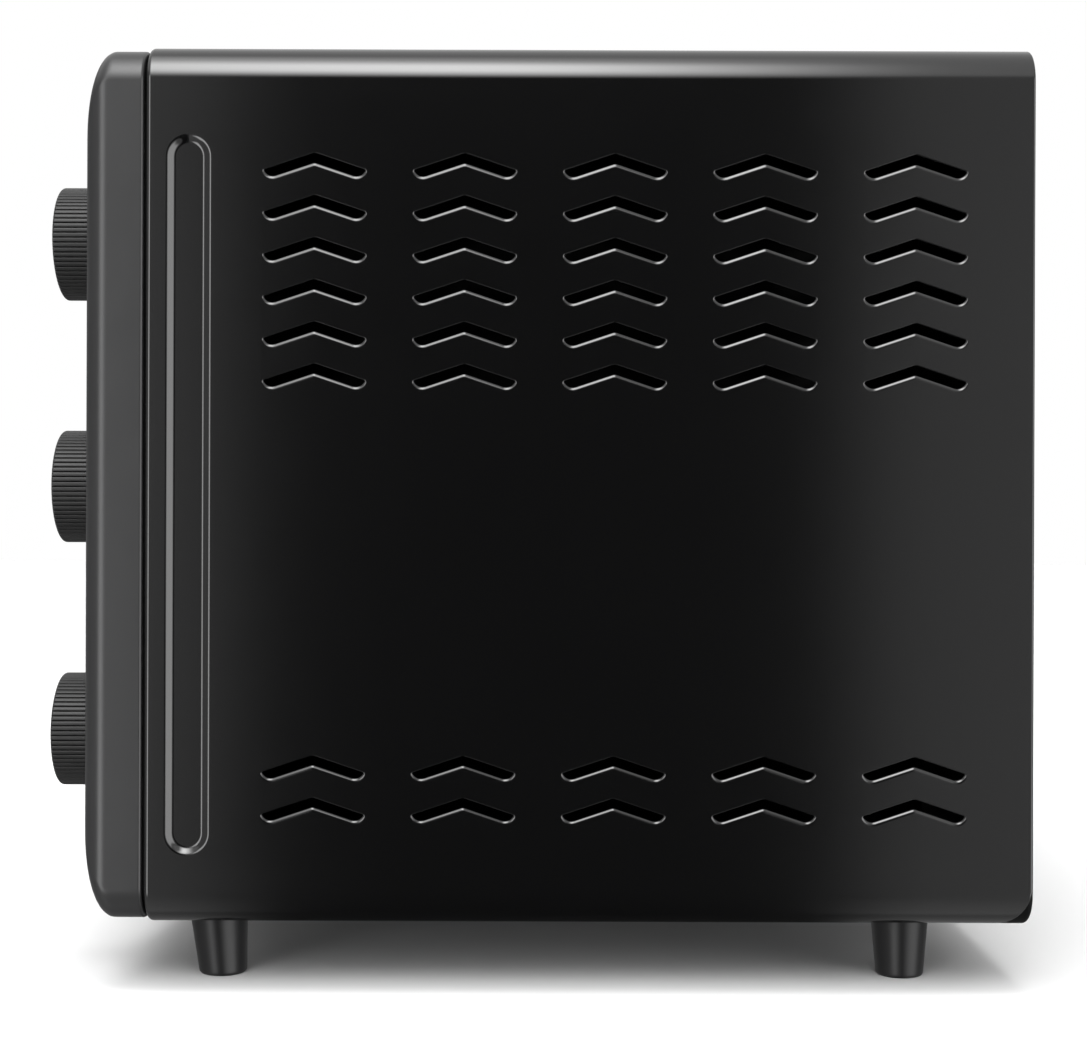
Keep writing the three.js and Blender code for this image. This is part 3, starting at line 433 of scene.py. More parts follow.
def case_shell():
    shape = Shape()
    steps = 10
    y0, y1 = CASE_EDGE, SHELL_HI.y
    front_roll, back_roll = 1.8 * MM, 0.7 * MM
    flange = 3 * MM  # how far the front edge turns in

    def section(y, inset, back=False):
        return shape.ring([Vector((x, y - (lower_back_setback(z) if back else 0), z))
                           for x, z in wrap(inset, steps)])

    inside = [section(y0 + front_roll + SHEET, SHEET)]
    for k in range(4):
        angle = math.pi / 2 * k / 3
        reach = front_roll - SHEET
        inside.append(section(y0 + front_roll - reach * math.sin(angle),
                              front_roll - reach * math.cos(angle)))
    inside.append(section(y0 + SHEET, flange))
    outside = [section(y0, flange)]
    for k in range(7):
        angle = math.pi / 2 * k / 6
        outside.append(section(y0 + front_roll * (1 - math.cos(angle)), front_roll * (1 - math.sin(angle))))
    back = []
    for k in range(4):
        angle = math.pi / 2 * k / 3
        back.append(section(y1 - back_roll * (1 - math.sin(angle)), back_roll * (1 - math.cos(angle)), True))
    back.append(section(y1 - 0.5 * MM, SHEET, True))

    flats = (1 + steps, 3 + 3 * steps)  # the stretches of the section that face left and right
    rows = inside + outside
    shape.join(rows, closed=False)
    shape.join(back, closed=False)
    shape.bridge(outside[-1], back[0], closed=False, skip=flats)
    shape.bridge(back[-1], inside[0], closed=False, skip=flats)
    for tip in (0, -1):  # the bottom lips' long edges
        shape.face([row[tip] for row in rows + back])

    for i, side in zip(flats, (-1, 1)):
        outer = [outside[-1][i], outside[-1][i + 1], back[0][i + 1], back[0][i]]
        inner = [inside[0][i], inside[0][i + 1], back[-1][i + 1], back[-1][i]]
        outer_loops, inner_loops = pierce_side(shape, side)
        shape.fill([outer] + outer_loops)
        shape.fill([inner] + inner_loops)
    piece("case_shell", shape.finished("case_shell"), MATERIALS["case_black"], "case",
          ["outer_shell"])


def feet():
    sole = FOOT["sole"]
    for end in ("front", "rear"):
        for hand in ("left", "right"):
            node = f"foot_{end}_{hand}"
            lo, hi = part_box(node)
            rake = FOOT["rake"] if end == "front" else 0
            height = hi.z - lo.z
            top = Vector(((lo.x + hi.x) / 2, lo.y + FOOT["top"], lo.z))

            def place(u, v, w):
                return Vector((top.x + u, top.y + v + rake * (1 - w / height), w))

            hollow = [(0, 1.2 * MM), (5.6 * MM, 1.2 * MM), (6 * MM, 0)]
            rim = [(sole - 1.25 * MM, 0), (sole - 0.55 * MM, 0.2 * MM), (sole - 0.15 * MM, 0.7 * MM)]
            taper = [(sole, 1.5 * MM), (FOOT["top"] - 0.05 * MM, height), (0, height)]
            shape = Shape()
            shape.turn(hollow + rim + taper, place, 64)
            piece(node + "_moulding", shape.finished(node, 40), MATERIALS["foot_black"], "case",
                  [node])


def bezel_ring(depth, back_inset=0.0, wall=0.0, steps=10):
    """The pillowed frame's outline at a depth behind its face, drawn in by `wall` for its inside."""
    deep, high = FRAME_END_ROUND
    left = max(FRAME_SIDE_ROUND - depth, 0)
    inset_x = FRAME_SIDE_ROUND - math.sqrt(FRAME_SIDE_ROUND**2 - left**2)
    rest = max(1 - depth / deep, 0)
    inset_z = high * (1 - math.sqrt(1 - rest**2))
    inset = back_inset + wall
    half_x = BEZEL_HI.x - inset_x - inset
    half_z = (BEZEL_HI.z - BEZEL_LO.z) / 2 - inset_z - inset
    points = rectangle(-half_x, half_x, MIDDLE_Z - half_z, MIDDLE_Z + half_z, FRAME_CORNER - inset,
                       steps=steps)
    return facing_front(points, FRONT + depth + wall)


def front_bezel():
    shape = Shape()
    deep = FRAME_END_ROUND[0]
    steps = 22
    curve = [deep * (1 - math.cos(math.pi / 2 * k / steps)) for k in range(steps + 1)]
    roll = 1.3 * MM
    rows = [shape.ring(bezel_ring(d)) for d in curve]
    back = FRAME_DEPTH - roll
    for k in range(7):
        angle = math.pi / 2 * k / 6
        rows.append(shape.ring(bezel_ring(back + roll * math.sin(angle), roll * (1 - math.cos(angle)))))
    for depth, inset in [(FRAME_DEPTH, 2.5 * MM), (FRAME_DEPTH + FRAME_SPIGOT, 2.5 * MM),
                         (FRAME_DEPTH + FRAME_SPIGOT, 4.5 * MM), (deep + FRAME_WALL + 1 * MM, 4.5 * MM)]:
        rows.append(shape.ring(bezel_ring(depth, inset)))
    for d in curve[::-2]:
        rows.append(shape.ring(bezel_ring(d, wall=FRAME_WALL)))
    shape.join(rows)

    face_loops, inner_loops = [rows[0]], [rows[-1]]
    wall_y = FRONT + FRAME_WALL

    def opening(lo, hi, radius, gap, rim, path):
        """A hole through the face: a rounded rim, then a wall that follows (outwards, depth) steps."""
        rings = []
        for g, d in quarter(rim) + path:
            points = rectangle(lo.x - gap, hi.x + gap, lo.z - gap, hi.z + gap, radius, g, 6)
            rings.append(shape.ring(facing_front(points, FRONT + d)))
        shape.join(rings)
        face_loops.append(rings[0])
        inner_loops.append(rings[-1])

    collar = 2.5 * MM
    opening(DOOR_LO, DOOR_HI, 5 * MM, OPENING_GAP, 1.3 * MM,
            [(0, FRAME_DEPTH), (collar, FRAME_DEPTH), (collar, wall_y - FRONT)])
    ledge = -8 * MM
    opening(PANEL_LO, PANEL_HI, 2 * MM, 0.3 * MM, 0.5 * MM,
            [(0, 1.8 * MM), (ledge, 1.8 * MM), (ledge, wall_y - FRONT)])
    shape.fill(face_loops)
    shape.fill(inner_loops)
    made = piece("front_bezel", shape.finished("front_bezel"), MATERIALS["frame_black"], "case",
                 ["front_frame"])
    tray_lo, tray_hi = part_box("crumb_tray")
    gap = 1 * MM
    mouth = rectangle(tray_lo.x - gap, tray_hi.x + gap, tray_lo.z - 0.5 * MM, tray_hi.z + 1.7 * MM, 2 * MM)
    slot = Shape()
    slot.loft([facing_front(mouth, y) for y in (FRONT - 2 * MM, FRONT + 12 * MM)])
    carve(made, slot)


def joint_shade_strip():
    """A near-black foam strip that closes the joint between the frame and the case, lying on the frame's
    collar: painted shade that stands in for the shade in that gap.
    """
    shape = Shape()
    half_x, half_z = BEZEL_HI.x, (BEZEL_HI.z - BEZEL_LO.z) / 2

    def ring(inset, y):
        points = rectangle(-half_x + inset, half_x - inset, MIDDLE_Z - half_z + inset,
                           MIDDLE_Z + half_z - inset, FRAME_CORNER - inset, steps=10)
        return shape.ring(facing_front(points, y))

    front, back = BEZEL_HI.y - FRAME_SPIGOT, CASE_EDGE
    foot, crown = 2.4 * MM, 1.9 * MM
    edge = 0.2 * MM
    rows = [ring(foot, front), ring(crown + edge, front), ring(crown, front + edge), ring(crown, back - edge),
            ring(crown + edge, back), ring(foot, back)]
    shape.join(rows + rows[:1])
    piece("joint_shade_strip", shape.finished("joint_shade_strip"), GAP_SHADE_FOAM, "case")


def carve(target, cutter_shape):
    """Cuts a shape out of a piece's mesh."""
    cutter = bpy.data.objects.new("cutter", cutter_shape.finished("cutter"))
    bpy.context.collection.objects.link(cutter)
    boolean = target.modifiers.new("carve", "BOOLEAN")
    boolean.operation = "DIFFERENCE"
    boolean.solver = "EXACT"
    boolean.object = cutter
    while target.modifiers[0] != boolean:
        target.modifiers.move(len(target.modifiers) - 1, 0)
    kept = [m for m in target.modifiers if m != boolean]
    for modifier in kept:
        modifier.show_viewport = False
    depsgraph = bpy.context.evaluated_depsgraph_get()
    carved = bpy.data.meshes.new_from_object(target.evaluated_get(depsgraph))
    target.modifiers.remove(boolean)
    for modifier in kept:
        modifier.show_viewport = True
    target.data = carved
    carved.set_sharp_from_angle(angle=math.radians(35))
    bpy.data.objects.remove(cutter)


def back_cover():
    shape = Shape()
    lo, hi = COVER_LO, COVER_HI
    corner = CASE_RADIUS - (SHELL_HI.x - hi.x)

    def ring(y, inset, drop=0.0):
        points = rectangle(lo.x + inset, hi.x - inset, lo.z + inset - drop, hi.z - inset, corner - inset,
                           steps=10)
        return shape.ring(facing_front(points, y))

    roll = 2 * MM
    drop = lo.z - SHELL_LO.z  # behind the case's bottom lips the cover comes down level with them
    step = hi.y - CASE_CORNER["deep"]
    rows = [ring(lo.y, SHEET), ring(lo.y, 0), ring(step - 0.4 * MM, 0), ring(step + 0.4 * MM, 0, drop)]
    for k in range(6):
        angle = math.pi / 2 * k / 5
        rows.append(ring(hi.y - roll * (1 - math.sin(angle)), roll * (1 - math.cos(angle)), drop))
    inner = ring(hi.y - SHEET, roll)
    shape.join(rows)
    shape.bridge(rows[0], inner)

    face_loops, inner_loops = [rows[-1]], [inner]

    def hole(x, z, half_x, half_z, radius):
        rings = []
        for g, d in quarter(0.7 * MM, 3) + [(0, SHEET)]:
            points = rectangle(x - half_x, x + half_x, z - half_z, z + half_z, radius, g, 5)
            rings.append(shape.ring(facing_front(points, hi.y - d)))
        shape.join(rings)
        face_loops.append(rings[0])
        inner_loops.append(rings[-1])

    for x in COVER_SLOTS["across"]:
        for z in COVER_SLOTS["up"]:
            hole(x * MM, z * MM, COVER_SLOTS["long"] / 2, COVER_SLOTS["wide"] / 2, 1.9 * MM)
    gland = middle("cord_gland")
    hole(gland.x, gland.z, 7.6 * MM, 7.6 * MM, 7.5 * MM)
    shape.fill(face_loops)
    shape.fill(inner_loops)
    piece("rear_cover", shape.finished("rear_cover"), COVER_PAINT, "case", ["back_cover"])


# ---------------------------------------------------------------- controls

def knob_grip(name, place, radius, length, cap):
    """The ribbed moulding, as a loft from its back edge to the seat of its cap."""
    flanks = [(0.0, 0.04), (0.2, 0.0), (0.4, 0.0), (0.6, 0.04), (0.69, 0.2), (0.74, 0.85), (0.8, 1.0),
              (0.86, 0.85), (0.91, 0.2)]  # rib, then groove: shares of the pitch and the groove's depth

    def ribbed(reach, along, share):
        points = []
        for rib in range(KNOB["ribs"]):
            for across, depth in flanks:
                angle = 2 * math.pi * (rib + across) / KNOB["ribs"]
                r = reach - KNOB["groove"] * depth * share
                points.append(place(r * math.cos(angle), r * math.sin(angle), along))
        return points

    edge = KNOB["edge"]
    stations = [(radius - 1.2 * MM, 0, 0), (radius - 0.3 * MM, 0, 0), (radius, 0.3 * MM, 0),
                (radius, 1.6 * MM, 0), (radius, 2.2 * MM, 1), (radius, length - edge - 0.1 * MM, 1)]
    for k in range(1, 5):
        angle = math.pi / 2 * k / 4
        inset, rise = edge * (1 - math.cos(angle)), edge * math.sin(angle)
        stations.append((radius - inset, length - edge + rise, 1 - k / 4))
    stations += [(cap + 0.3 * MM, length, 0), (cap + 0.3 * MM, length - 0.8 * MM, 0)]
    shape = Shape()
    shape.loft([ribbed(*station) for station in stations])
    piece(name + "_grip", shape.finished(name, 50), MATERIALS["knob_black"], name + "_knob",
          [name + "_knob"])


def knob_face(name, place, length, cap):
    """The spun metal cap: a fine raised rim round a low dome."""
    rim = KNOB["cap_rim"]
    profile = [(0, length - 0.6 * MM), (cap, length - 0.6 * MM), (cap, length - rim), (cap - rim, length),
               (cap - 1.2 * MM, length + 0.12 * MM), (cap - 1.5 * MM, length)]
    for k in range(9):
        share = 1 - k / 8
        profile.append(((cap - 2 * MM) * share, length + KNOB["dome"] * (1 - share**2)))
    shape = Shape()
    shape.turn(profile, place, 96)
    piece(name + "_face", shape.finished(name, 30), MATERIALS["knob_cap"], name + "_knob",
          [name + "_knob_cap"])


def knob_pointer(name, centre, length):
    half = 0.9 * MM
    bar = rectangle(centre.x - half, centre.x + half, centre.z + 5 * MM, centre.z + 16.5 * MM, 0.6 * MM,
                    steps=4)
    shape = Shape()
    shape.loft([facing_front(bar, centre.y - length - rise) for rise in (0.2 * MM, 1.25 * MM)])
    piece(name + "_pointer", shape.finished(name), MATERIALS["knob_black"], name + "_knob")


def knobs():
    for name in KNOBS:
        lo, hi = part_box(name + "_knob")
        cap_lo, cap_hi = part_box(name + "_knob_cap")
        centre = Vector(((lo.x + hi.x) / 2, hi.y, (lo.z + hi.z) / 2))
        place = towards_front(centre)
        radius, length, cap = (hi.x - lo.x) / 2, hi.y - lo.y, (cap_hi.x - cap_lo.x) / 2
        knob_grip(name, place, radius, length, cap)
        knob_face(name, place, length, cap)
        knob_pointer(name, centre, length)


def control_panel():
    shape = Shape()
    lo, hi = PANEL_LO, PANEL_HI
    corner = 1.5 * MM
    rows = [shape.ring(facing_front(rectangle(lo.x, hi.x, lo.z, hi.z, corner), hi.y))]
    for g, d in quarter(0.5 * MM)[::-1]:
        rows.append(shape.ring(facing_front(rectangle(lo.x, hi.x, lo.z, hi.z, corner, -g), lo.y + d)))
    shape.join(rows)
    front_loops, back_loops = [rows[-1]], [rows[0]]
    holes = [(middle(k + "_knob"), 4.5 * MM) for k in KNOBS] + [(middle("pilot_lamp"), 3.4 * MM)]
    for centre, radius in holes:
        rings = []
        angles = [2 * math.pi * k / 32 for k in range(32)]
        for y in (lo.y, hi.y):
            rings.append(shape.ring([(centre.x + radius * math.cos(t), y, centre.z + radius * math.sin(t))
                                     for t in angles]))
        shape.bridge(*rings)
        front_loops.append(rings[0])
        back_loops.append(rings[1])
    shape.fill(front_loops)
    shape.fill(back_loops)
    piece("panel_plate", shape.finished("panel_plate"), MATERIALS["panel_black"], "case",
          ["control_panel"])


def stroke(shape, points, width, y):
    """A flat printed line through (x, z) points."""
    for (u0, v0), (u1, v1) in zip(points, points[1:]):
        a, b = Vector((u0, v0)), Vector((u1, v1))
        across = (b - a).orthogonal().normalized() * width / 2
        corners = [a - across, b - across, b + across, a + across]
        shape.loft([facing_front(corners, y), facing_front(corners, y - INK)])


def numeral(text, x, z, size, y):
    """Printed digits centred on (x, z), as a mesh."""
    curve = bpy.data.curves.new("numeral", "FONT")
    curve.body = text
    curve.size = size
    curve.align_x, curve.align_y = "CENTER", "CENTER"
    curve.extrude = INK / 2
    holder = bpy.data.objects.new("numeral", curve)
    mesh = bpy.data.meshes.new_from_object(holder)
    bpy.data.objects.remove(holder)
    mesh.transform(Matrix.Translation((x, y - INK / 2, z)) @ Matrix.Rotation(math.pi / 2, 4, "X"))
    return mesh


def printed_scales():
    """Ticks and numbers round the knobs; the pointers stand at the top, and each scale runs clockwise."""
    y = PANEL_LO.y
    strokes = Shape()
    digits = []

    def at(centre, degrees, radius):
        turn = math.radians(degrees)
        return centre.x + radius * math.sin(turn), centre.z + radius * math.cos(turn)

    def scale(name, stops, ticks):
        centre = middle(name + "_knob")
        for degrees in ticks:
            stroke(strokes, [at(centre, degrees, r) for r in SCALE["tick"]], PRINTED["tick"], y)
        for degrees, text in stops:
            stroke(strokes, [at(centre, degrees, r) for r in SCALE["stop"]], PRINTED["bold"], y)
            digits.append(numeral(text, *at(centre, degrees, SCALE["number"]), PRINTED["digit"], y))

    scale("temperature", [(k * 50, str(70 + 30 * k)) for k in range(1, 7)], range(50, 301, 10))
    scale("timer", [(k * 55, str(k * 10)) for k in range(1, 7)], range(11, 331, 11))
    centre = middle("function_knob")
    for stop in range(4):
        degrees = stop * 90
        stroke(strokes, [at(centre, degrees, r) for r in SCALE["stop"]], PRINTED["bold"], y)
        u, v = at(centre, degrees, SCALE["mark"])
        half = PRINTED["half_mark"]
        box = [(u - half, v - half), (u + half, v - half), (u + half, v + half), (u - half, v + half),
               (u - half, v - half)]
        stroke(strokes, box, PRINTED["fine"], y)
        for bar, shown in ((-1, stop in (1, 3)), (1, stop in (2, 3))):
            if shown:
                height = v + bar * half * 0.5
                stroke(strokes, [(u - half * 0.6, height), (u + half * 0.6, height)], PRINTED["bold"], y)
    piece("scale_lines", strokes.finished("scale_lines"), PRINT, "case")
    joined = bmesh.new()
    for mesh in digits:
        joined.from_mesh(mesh)
        bpy.data.meshes.remove(mesh)
    mesh = bpy.data.meshes.new("scale_numbers")
    joined.to_mesh(mesh)
    joined.free()
    piece("scale_numbers", mesh, PRINT, "case")


def pilot_lamp():
    lo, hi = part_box("pilot_lamp")
    centre = Vector(((lo.x + hi.x) / 2, hi.y, (lo.z + hi.z) / 2))
    radius, length = (hi.x - lo.x) / 2, hi.y - lo.y
    profile = [(0, 0), (radius, 0), (radius, length - 1.4 * MM)]
    profile += [(radius * math.cos(t), length - 1.4 * MM + 1.3 * MM * math.sin(t))
                for t in (math.pi / 2 * k / 6 for k in range(1, 7))]
    shape = Shape()
    shape.turn(profile, towards_front(centre), 32)
    piece("lamp_lens", shape.finished("lamp_lens"), MATERIALS["lamp"], "case", ["pilot_lamp"])


# ---------------------------------------------------------------- door

def door_skin():
    """The pressed steel frame, with a rounded edge, a rounded window and a rebate behind it for the glass."""
    shape = Shape()
    lo, hi = DOOR_LO, DOOR_HI
    skin, corner = 1.2 * MM, 4 * MM
    depth = hi.y - lo.y

    def ring(inset, d):
        return shape.ring(facing_front(rectangle(lo.x, hi.x, lo.z, hi.z, corner, -inset), lo.y + d))

    rows = [ring(g, d) for g, d in quarter(1.8 * MM)]
    rows += [ring(0, depth), ring(skin, depth), ring(skin, skin)]
    shape.join(rows)
    glass_gap = 0.3 * MM
    rebate = 4.5 * MM
    window = [GLASS_LO.x + rebate - glass_gap, GLASS_HI.x - rebate + glass_gap,
              GLASS_LO.z + rebate - glass_gap, GLASS_HI.z - rebate + glass_gap]
    seat = GLASS_LO.y - lo.y - glass_gap
    rim = quarter(1.4 * MM) + [(0, seat), (rebate, seat), (rebate, depth), (rebate + skin, depth),
                               (rebate + skin, skin)]
    rings = [shape.ring(facing_front(rectangle(*window, 7 * MM, g), lo.y + d)) for g, d in rim]
    shape.join(rings)
    shape.fill([rows[0], rings[0]])
    shape.fill([rows[-1], rings[-1]])
    piece("door_skin", shape.finished("door_skin"), MATERIALS["door_black"], "door",
          ["door_frame"])


def door_pane():
    lo, hi = GLASS_LO, GLASS_HI
    bevel = 0.4 * MM
    thick = hi.y - lo.y
    rings = []
    for inset, d in [(bevel, 0), (0, bevel), (0, thick - bevel), (bevel, thick)]:
        rings.append(facing_front(rectangle(lo.x, hi.x, lo.z, hi.z, 3 * MM, -inset), lo.y + d))
    shape = Shape()
    shape.loft(rings)
    piece("door_pane", shape.finished("door_pane", 25), MATERIALS["glass"], "door", ["door_glass"])


def handle_grip():
    """A soft-edged bar that closes in a quarter round at each end."""
    lo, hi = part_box("door_handle")
    centre = (lo + hi) / 2
    half = (hi - lo) / 2
    cap, shrink = 3.5 * MM, 0.35
    stations = [(lo.x + cap * (1 - math.cos(t)), 1 - (1 - math.sin(t)) * shrink)
                for t in (math.pi / 2 * k / 6 for k in range(7))]
    stations += [(lo.x + hi.x - x, share) for x, share in stations[::-1]]
    rings = []
    for x, share in stations:
        half_u, half_v = half.y * share, half.z * share
        points = rectangle(centre.y - half_u, centre.y + half_u, centre.z - half_v, centre.z + half_v,
                           4.5 * MM * share)
        rings.append(facing_side(points, x))
    shape = Shape()
    shape.loft(rings)
    piece("handle_grip", shape.finished("handle_grip", 50), MATERIALS["handle"], "door",
          ["door_handle"])


def handle_posts(steps=12):
    """Two cast posts that flare towards the door."""
    for hand in ("left", "right"):
        node = "handle_post_" + hand
        lo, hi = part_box(node)
        centre = (lo + hi) / 2
        rings = []
        for k in range(steps + 1):
            along = k / steps
            flare = along**3
            half_u, half_v = (6.4 + 2.6 * flare) * MM, (5.2 + 2.3 * flare) * MM
            points = rectangle(centre.x - half_u, centre.x + half_u, centre.z - half_v, centre.z + half_v,
                               3 * MM)
            rings.append(facing_front(points, lo.y + (hi.y - lo.y) * along))
        shape = Shape()
        shape.loft(rings)
        piece(node + "_cast", shape.finished(node, 50), MATERIALS["handle"], "door", [node])


def door_springs():
    for hand in ("left", "right"):
        node = "door_spring_" + hand
        lo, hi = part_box(node)
        centre = (lo + hi) / 2
        wire, per_turn = SPRING["wire"], 20
        count = SPRING["turns"] * per_turn
        coil = (hi.y - lo.y) / 2 - wire
        path = []
        for k in range(count + 1):
            angle = 2 * math.pi * k / per_turn
            x = lo.x + wire + (hi.x - lo.x - 2 * wire) * k / count
            path.append(Vector((x, centre.y + coil * math.cos(angle), centre.z + coil * math.sin(angle))))
        shape = Shape()
        shape.tube(path, wire, sides=8)
        piece(node + "_coil", shape.finished(node), MATERIALS["steel"], "case", [node])


# ---------------------------------------------------------------- oven

def elements():
    for level in ("lower", "upper"):
        for row in ("front", "rear"):
            node = f"heating_element_{level}_{row}"
            lo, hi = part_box(node)
            centre = Vector((lo.x, (lo.y + hi.y) / 2, (lo.z + hi.z) / 2))
            place = towards_side(centre)
            left, right = [x - lo.x for x in ELEMENT["rod_ends"]]
            radius = ELEMENT["rod"]
            rod = Shape()
            rod.turn([(0, left), (radius, left), (radius, right), (0, right)], place, 28)
            ends = Shape()
            for near, way, tip in ((left, -1, 0), (right, 1, hi.x - lo.x)):
                far = near + way * ELEMENT["insulator_long"]
                step = way * ELEMENT["insulator_edge"]
                thick = ELEMENT["insulator"]
                ends.turn([(0, near), (thick - abs(step), near), (thick, near + step), (thick, far - step),
                           (thick - abs(step), far), (0, far)], place, 28)
                rod.turn([(0, far), (ELEMENT["pin"], far), (ELEMENT["pin"], tip), (0, tip)], place, 12)
            piece(node + "_rod", rod.finished(node), MATERIALS["element"], "case", [node])
            piece(node + "_insulators", ends.finished(node), SHEATH, "case")


def wire_rack():
    """A rim wire, bars across it whose ends bend down to it, and a brace under them."""
    lo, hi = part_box("wire_rack")
    rim = RACK["rim"]
    height = lo.z + rim
    shape = Shape()
    corners = rectangle(lo.x + rim, hi.x - rim, lo.y + rim, hi.y - rim, RACK["corner"])
    shape.tube([Vector((u, v, height)) for u, v in corners], rim, closed=True)
    bend = [(0.8 * MM, -0.9 * MM), (1.3 * MM, 0.6 * MM), (2.6 * MM, 1.35 * MM), (5 * MM, 1.5 * MM)]
    for i in range(1, RACK["bars"] + 1):
        x = lo.x + (hi.x - lo.x) * i / (RACK["bars"] + 1)
        path = [Vector((x, lo.y + inwards, height + rise)) for inwards, rise in bend]
        path += [Vector((x, hi.y - inwards, height + rise)) for inwards, rise in bend[::-1]]
        shape.tube(path, RACK["bar"], sides=10)
    middle_y = (lo.y + hi.y) / 2
    ends = (lo.x + 2 * MM, 0, hi.x - 2 * MM)
    shape.tube([Vector((x, middle_y, height - 0.6 * MM)) for x in ends], RACK["brace"])
    piece("rack_wires", shape.finished("rack_wires", 60), MATERIALS["chrome"], "rack",
          ["wire_rack"])


def baking_pan():
    """An enamelled sheet pan with slanting walls, lofted from its underside round the rim to its floor."""
    lo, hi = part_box("baking_pan")
    rim, sheet, slant = PAN["rim"], PAN["sheet"], PAN["slant"]
    floor_corner, rim_corner = PAN["floor_corner"], PAN["rim_corner"]
    high = hi.z - lo.z

    def ring(inset, z, radius):
        points = rectangle(lo.x + rim, hi.x - rim, lo.y + rim, hi.y - rim, radius, -inset)
        return [Vector((u, v, lo.z + z)) for u, v in points]

    inner, outer = [], []
    for inwards, rise in quarter(PAN["foot_round"], 6):
        outer.append(ring(slant + inwards, rise, floor_corner))
        inner.append(ring(slant + sheet + inwards * 0.9, sheet + rise * 0.9, floor_corner))
    outer += [ring(0.4 * MM, high - 1.6 * MM, rim_corner), ring(-4 * MM, high - 1.5 * MM, rim_corner)]
    rolled = [ring(-rim, high - 1.2 * MM, rim_corner), ring(-rim, high - 0.4 * MM, rim_corner),
              ring(-4.4 * MM, high, rim_corner), ring(-0.8 * MM, high, rim_corner)]
    inner.append(ring(1.2 * MM, high - 0.8 * MM, rim_corner))
    shape = Shape()
    shape.loft(outer + rolled + inner[::-1])
    piece("pan_enamelled", shape.finished("pan_enamelled", 50), MATERIALS["pan_enamel"], "rack",
          ["baking_pan"])


def crumb_tray_front():
    lo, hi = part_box("crumb_tray_front")
    reach = TRAY_FRONT["reach"]
    face = lo.y + reach
    plate = Shape()
    rings = []
    for inset, d in [(0, TRAY_FRONT["thick"])] + quarter(0.6 * MM)[::-1]:
        rings.append(facing_front(rectangle(lo.x, hi.x, lo.z, hi.z, 2.5 * MM, -inset), face + d))
    plate.loft(rings)
    piece("tray_front_plate", plate.finished("tray_front_plate"), MATERIALS["case_black"], "crumb_tray",
          ["crumb_tray_front"])

    root = face + 0.5 * MM
    centre = (lo.x + hi.x) / 2
    half = TRAY_FRONT["half_pull"]
    section = [(root, 0), (face - reach + 1 * MM, 0), (face - reach, 0.9 * MM),
               (face - reach + 0.3 * MM, 1.9 * MM), (face - reach + 1.5 * MM, 1.6 * MM), (root, 1.5 * MM)]
    taper = [(0, 0.55), (1.5 * MM, 0.85), (5 * MM, 1)]  # (from the pull's end, share of its reach)
    stations = [(inwards - half, share) for inwards, share in taper]
    stations += [(half - inwards, share) for inwards, share in taper[::-1]]
    pull = Shape()
    pull.loft([[Vector((centre + x, root + (y - root) * share, lo.z + z)) for y, z in section]
               for x, share in stations])
    piece("tray_pull", pull.finished("tray_pull"), MATERIALS["case_black"], "crumb_tray")


# ---------------------------------------------------------------- fastenings and carried-over CAD pieces

def screw_mesh():
    """A pan-head screw with a cross in it, pointing along +Z."""
    head = Shape()
    radius, high = 3.4 * MM, 1.9 * MM
    profile = [(0, 0), (radius, 0), (radius, 0.5 * MM)]
    profile += [(radius * math.cos(t), 0.5 * MM + (high - 0.5 * MM) * math.sin(t))
                for t in (math.pi / 2 * k / 8 for k in range(1, 9))]
    head.turn(profile, upwards(Vector()), 32)
    made = bpy.data.objects.new("screw", head.finished("screw"))
    bpy.context.collection.objects.link(made)
    long, narrow = 1.9 * MM, 0.35 * MM
    for half_x, half_y in ((long, narrow), (narrow, long)):
        arm = Shape()
        rings = []
        for z, share in ((0.7 * MM, 0.6), (2.2 * MM, 1.0)):
            u = half_x * (share if half_x == long else 1)
            v = half_y * (share if half_y == long else 1)
            rings.append([(-u, -v, z), (u, -v, z), (u, v, z), (-u, v, z)])
        arm.loft(rings)
        carve(made, arm)
    mesh = made.data
    bpy.data.objects.remove(made)
    mesh.materials.clear()
    mesh.materials.append(MATERIALS["steel"])
    return mesh


def screws():
    head = screw_mesh()
    back = Matrix.Rotation(-math.pi / 2, 4, "X")  # turns +Z to +Y
    under = Matrix.Rotation(math.pi, 4, "X")
    spots = []
    inset = 11 * MM
    for x in (COVER_LO.x + inset, 0, COVER_HI.x - inset):
        for z in (COVER_LO.z + inset, COVER_HI.z - inset):
            spots.append(("cover", "case", Vector((x, COVER_HI.y - 1.1 * MM, z)), back))
    base_lo, base_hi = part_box("base_pan")
    for x in (base_lo.x + 30 * MM, 0, base_hi.x - 30 * MM):
        for y in (base_lo.y + 14 * MM, base_hi.y - 14 * MM):
            spots.append(("base", "case", Vector((x, y, base_lo.z + 0.9 * MM)), under))
    retainer_lo, retainer_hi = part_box("glass_retainer")
    for x in (retainer_lo.x + 10 * MM, (retainer_lo.x + retainer_hi.x) / 2, retainer_hi.x - 10 * MM):
        for z in (retainer_lo.z + 6 * MM, retainer_hi.z - 8 * MM):
            spots.append(("retainer", "door", Vector((x, retainer_hi.y - 0.1 * MM, z)), back))
    for i, (where, body, spot, turn) in enumerate(spots):
        made = bpy.data.objects.new(f"screw_{where}_{i:02d}", head)
        made.matrix_world = Matrix.Translation(spot) @ turn
        bpy.context.collection.objects.link(made)
        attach(made, body)


def carried_over():
    """CAD nodes whose shape is right: a procedural finish, slightly broken edges and even shading."""
    slots = {row["node"]: row["material_slot"] for row in frame["record"]["subparts"]}
    for name, node in frame["nodes"].items():
        node.data.materials.clear()
        node.data.materials.append(MATERIALS[slots[name]])
        if node.hide_render:
            continue
        bevel = node.modifiers.new("broken_edges", "BEVEL")
        bevel.width = 0.2 * MM
        bevel.segments = 2
        bevel.limit_method = "ANGLE"
        bevel.angle_limit = math.radians(50)
        node.modifiers.new("even_normals", "WEIGHTED_NORMAL")


# ---------------------------------------------------------------- studio

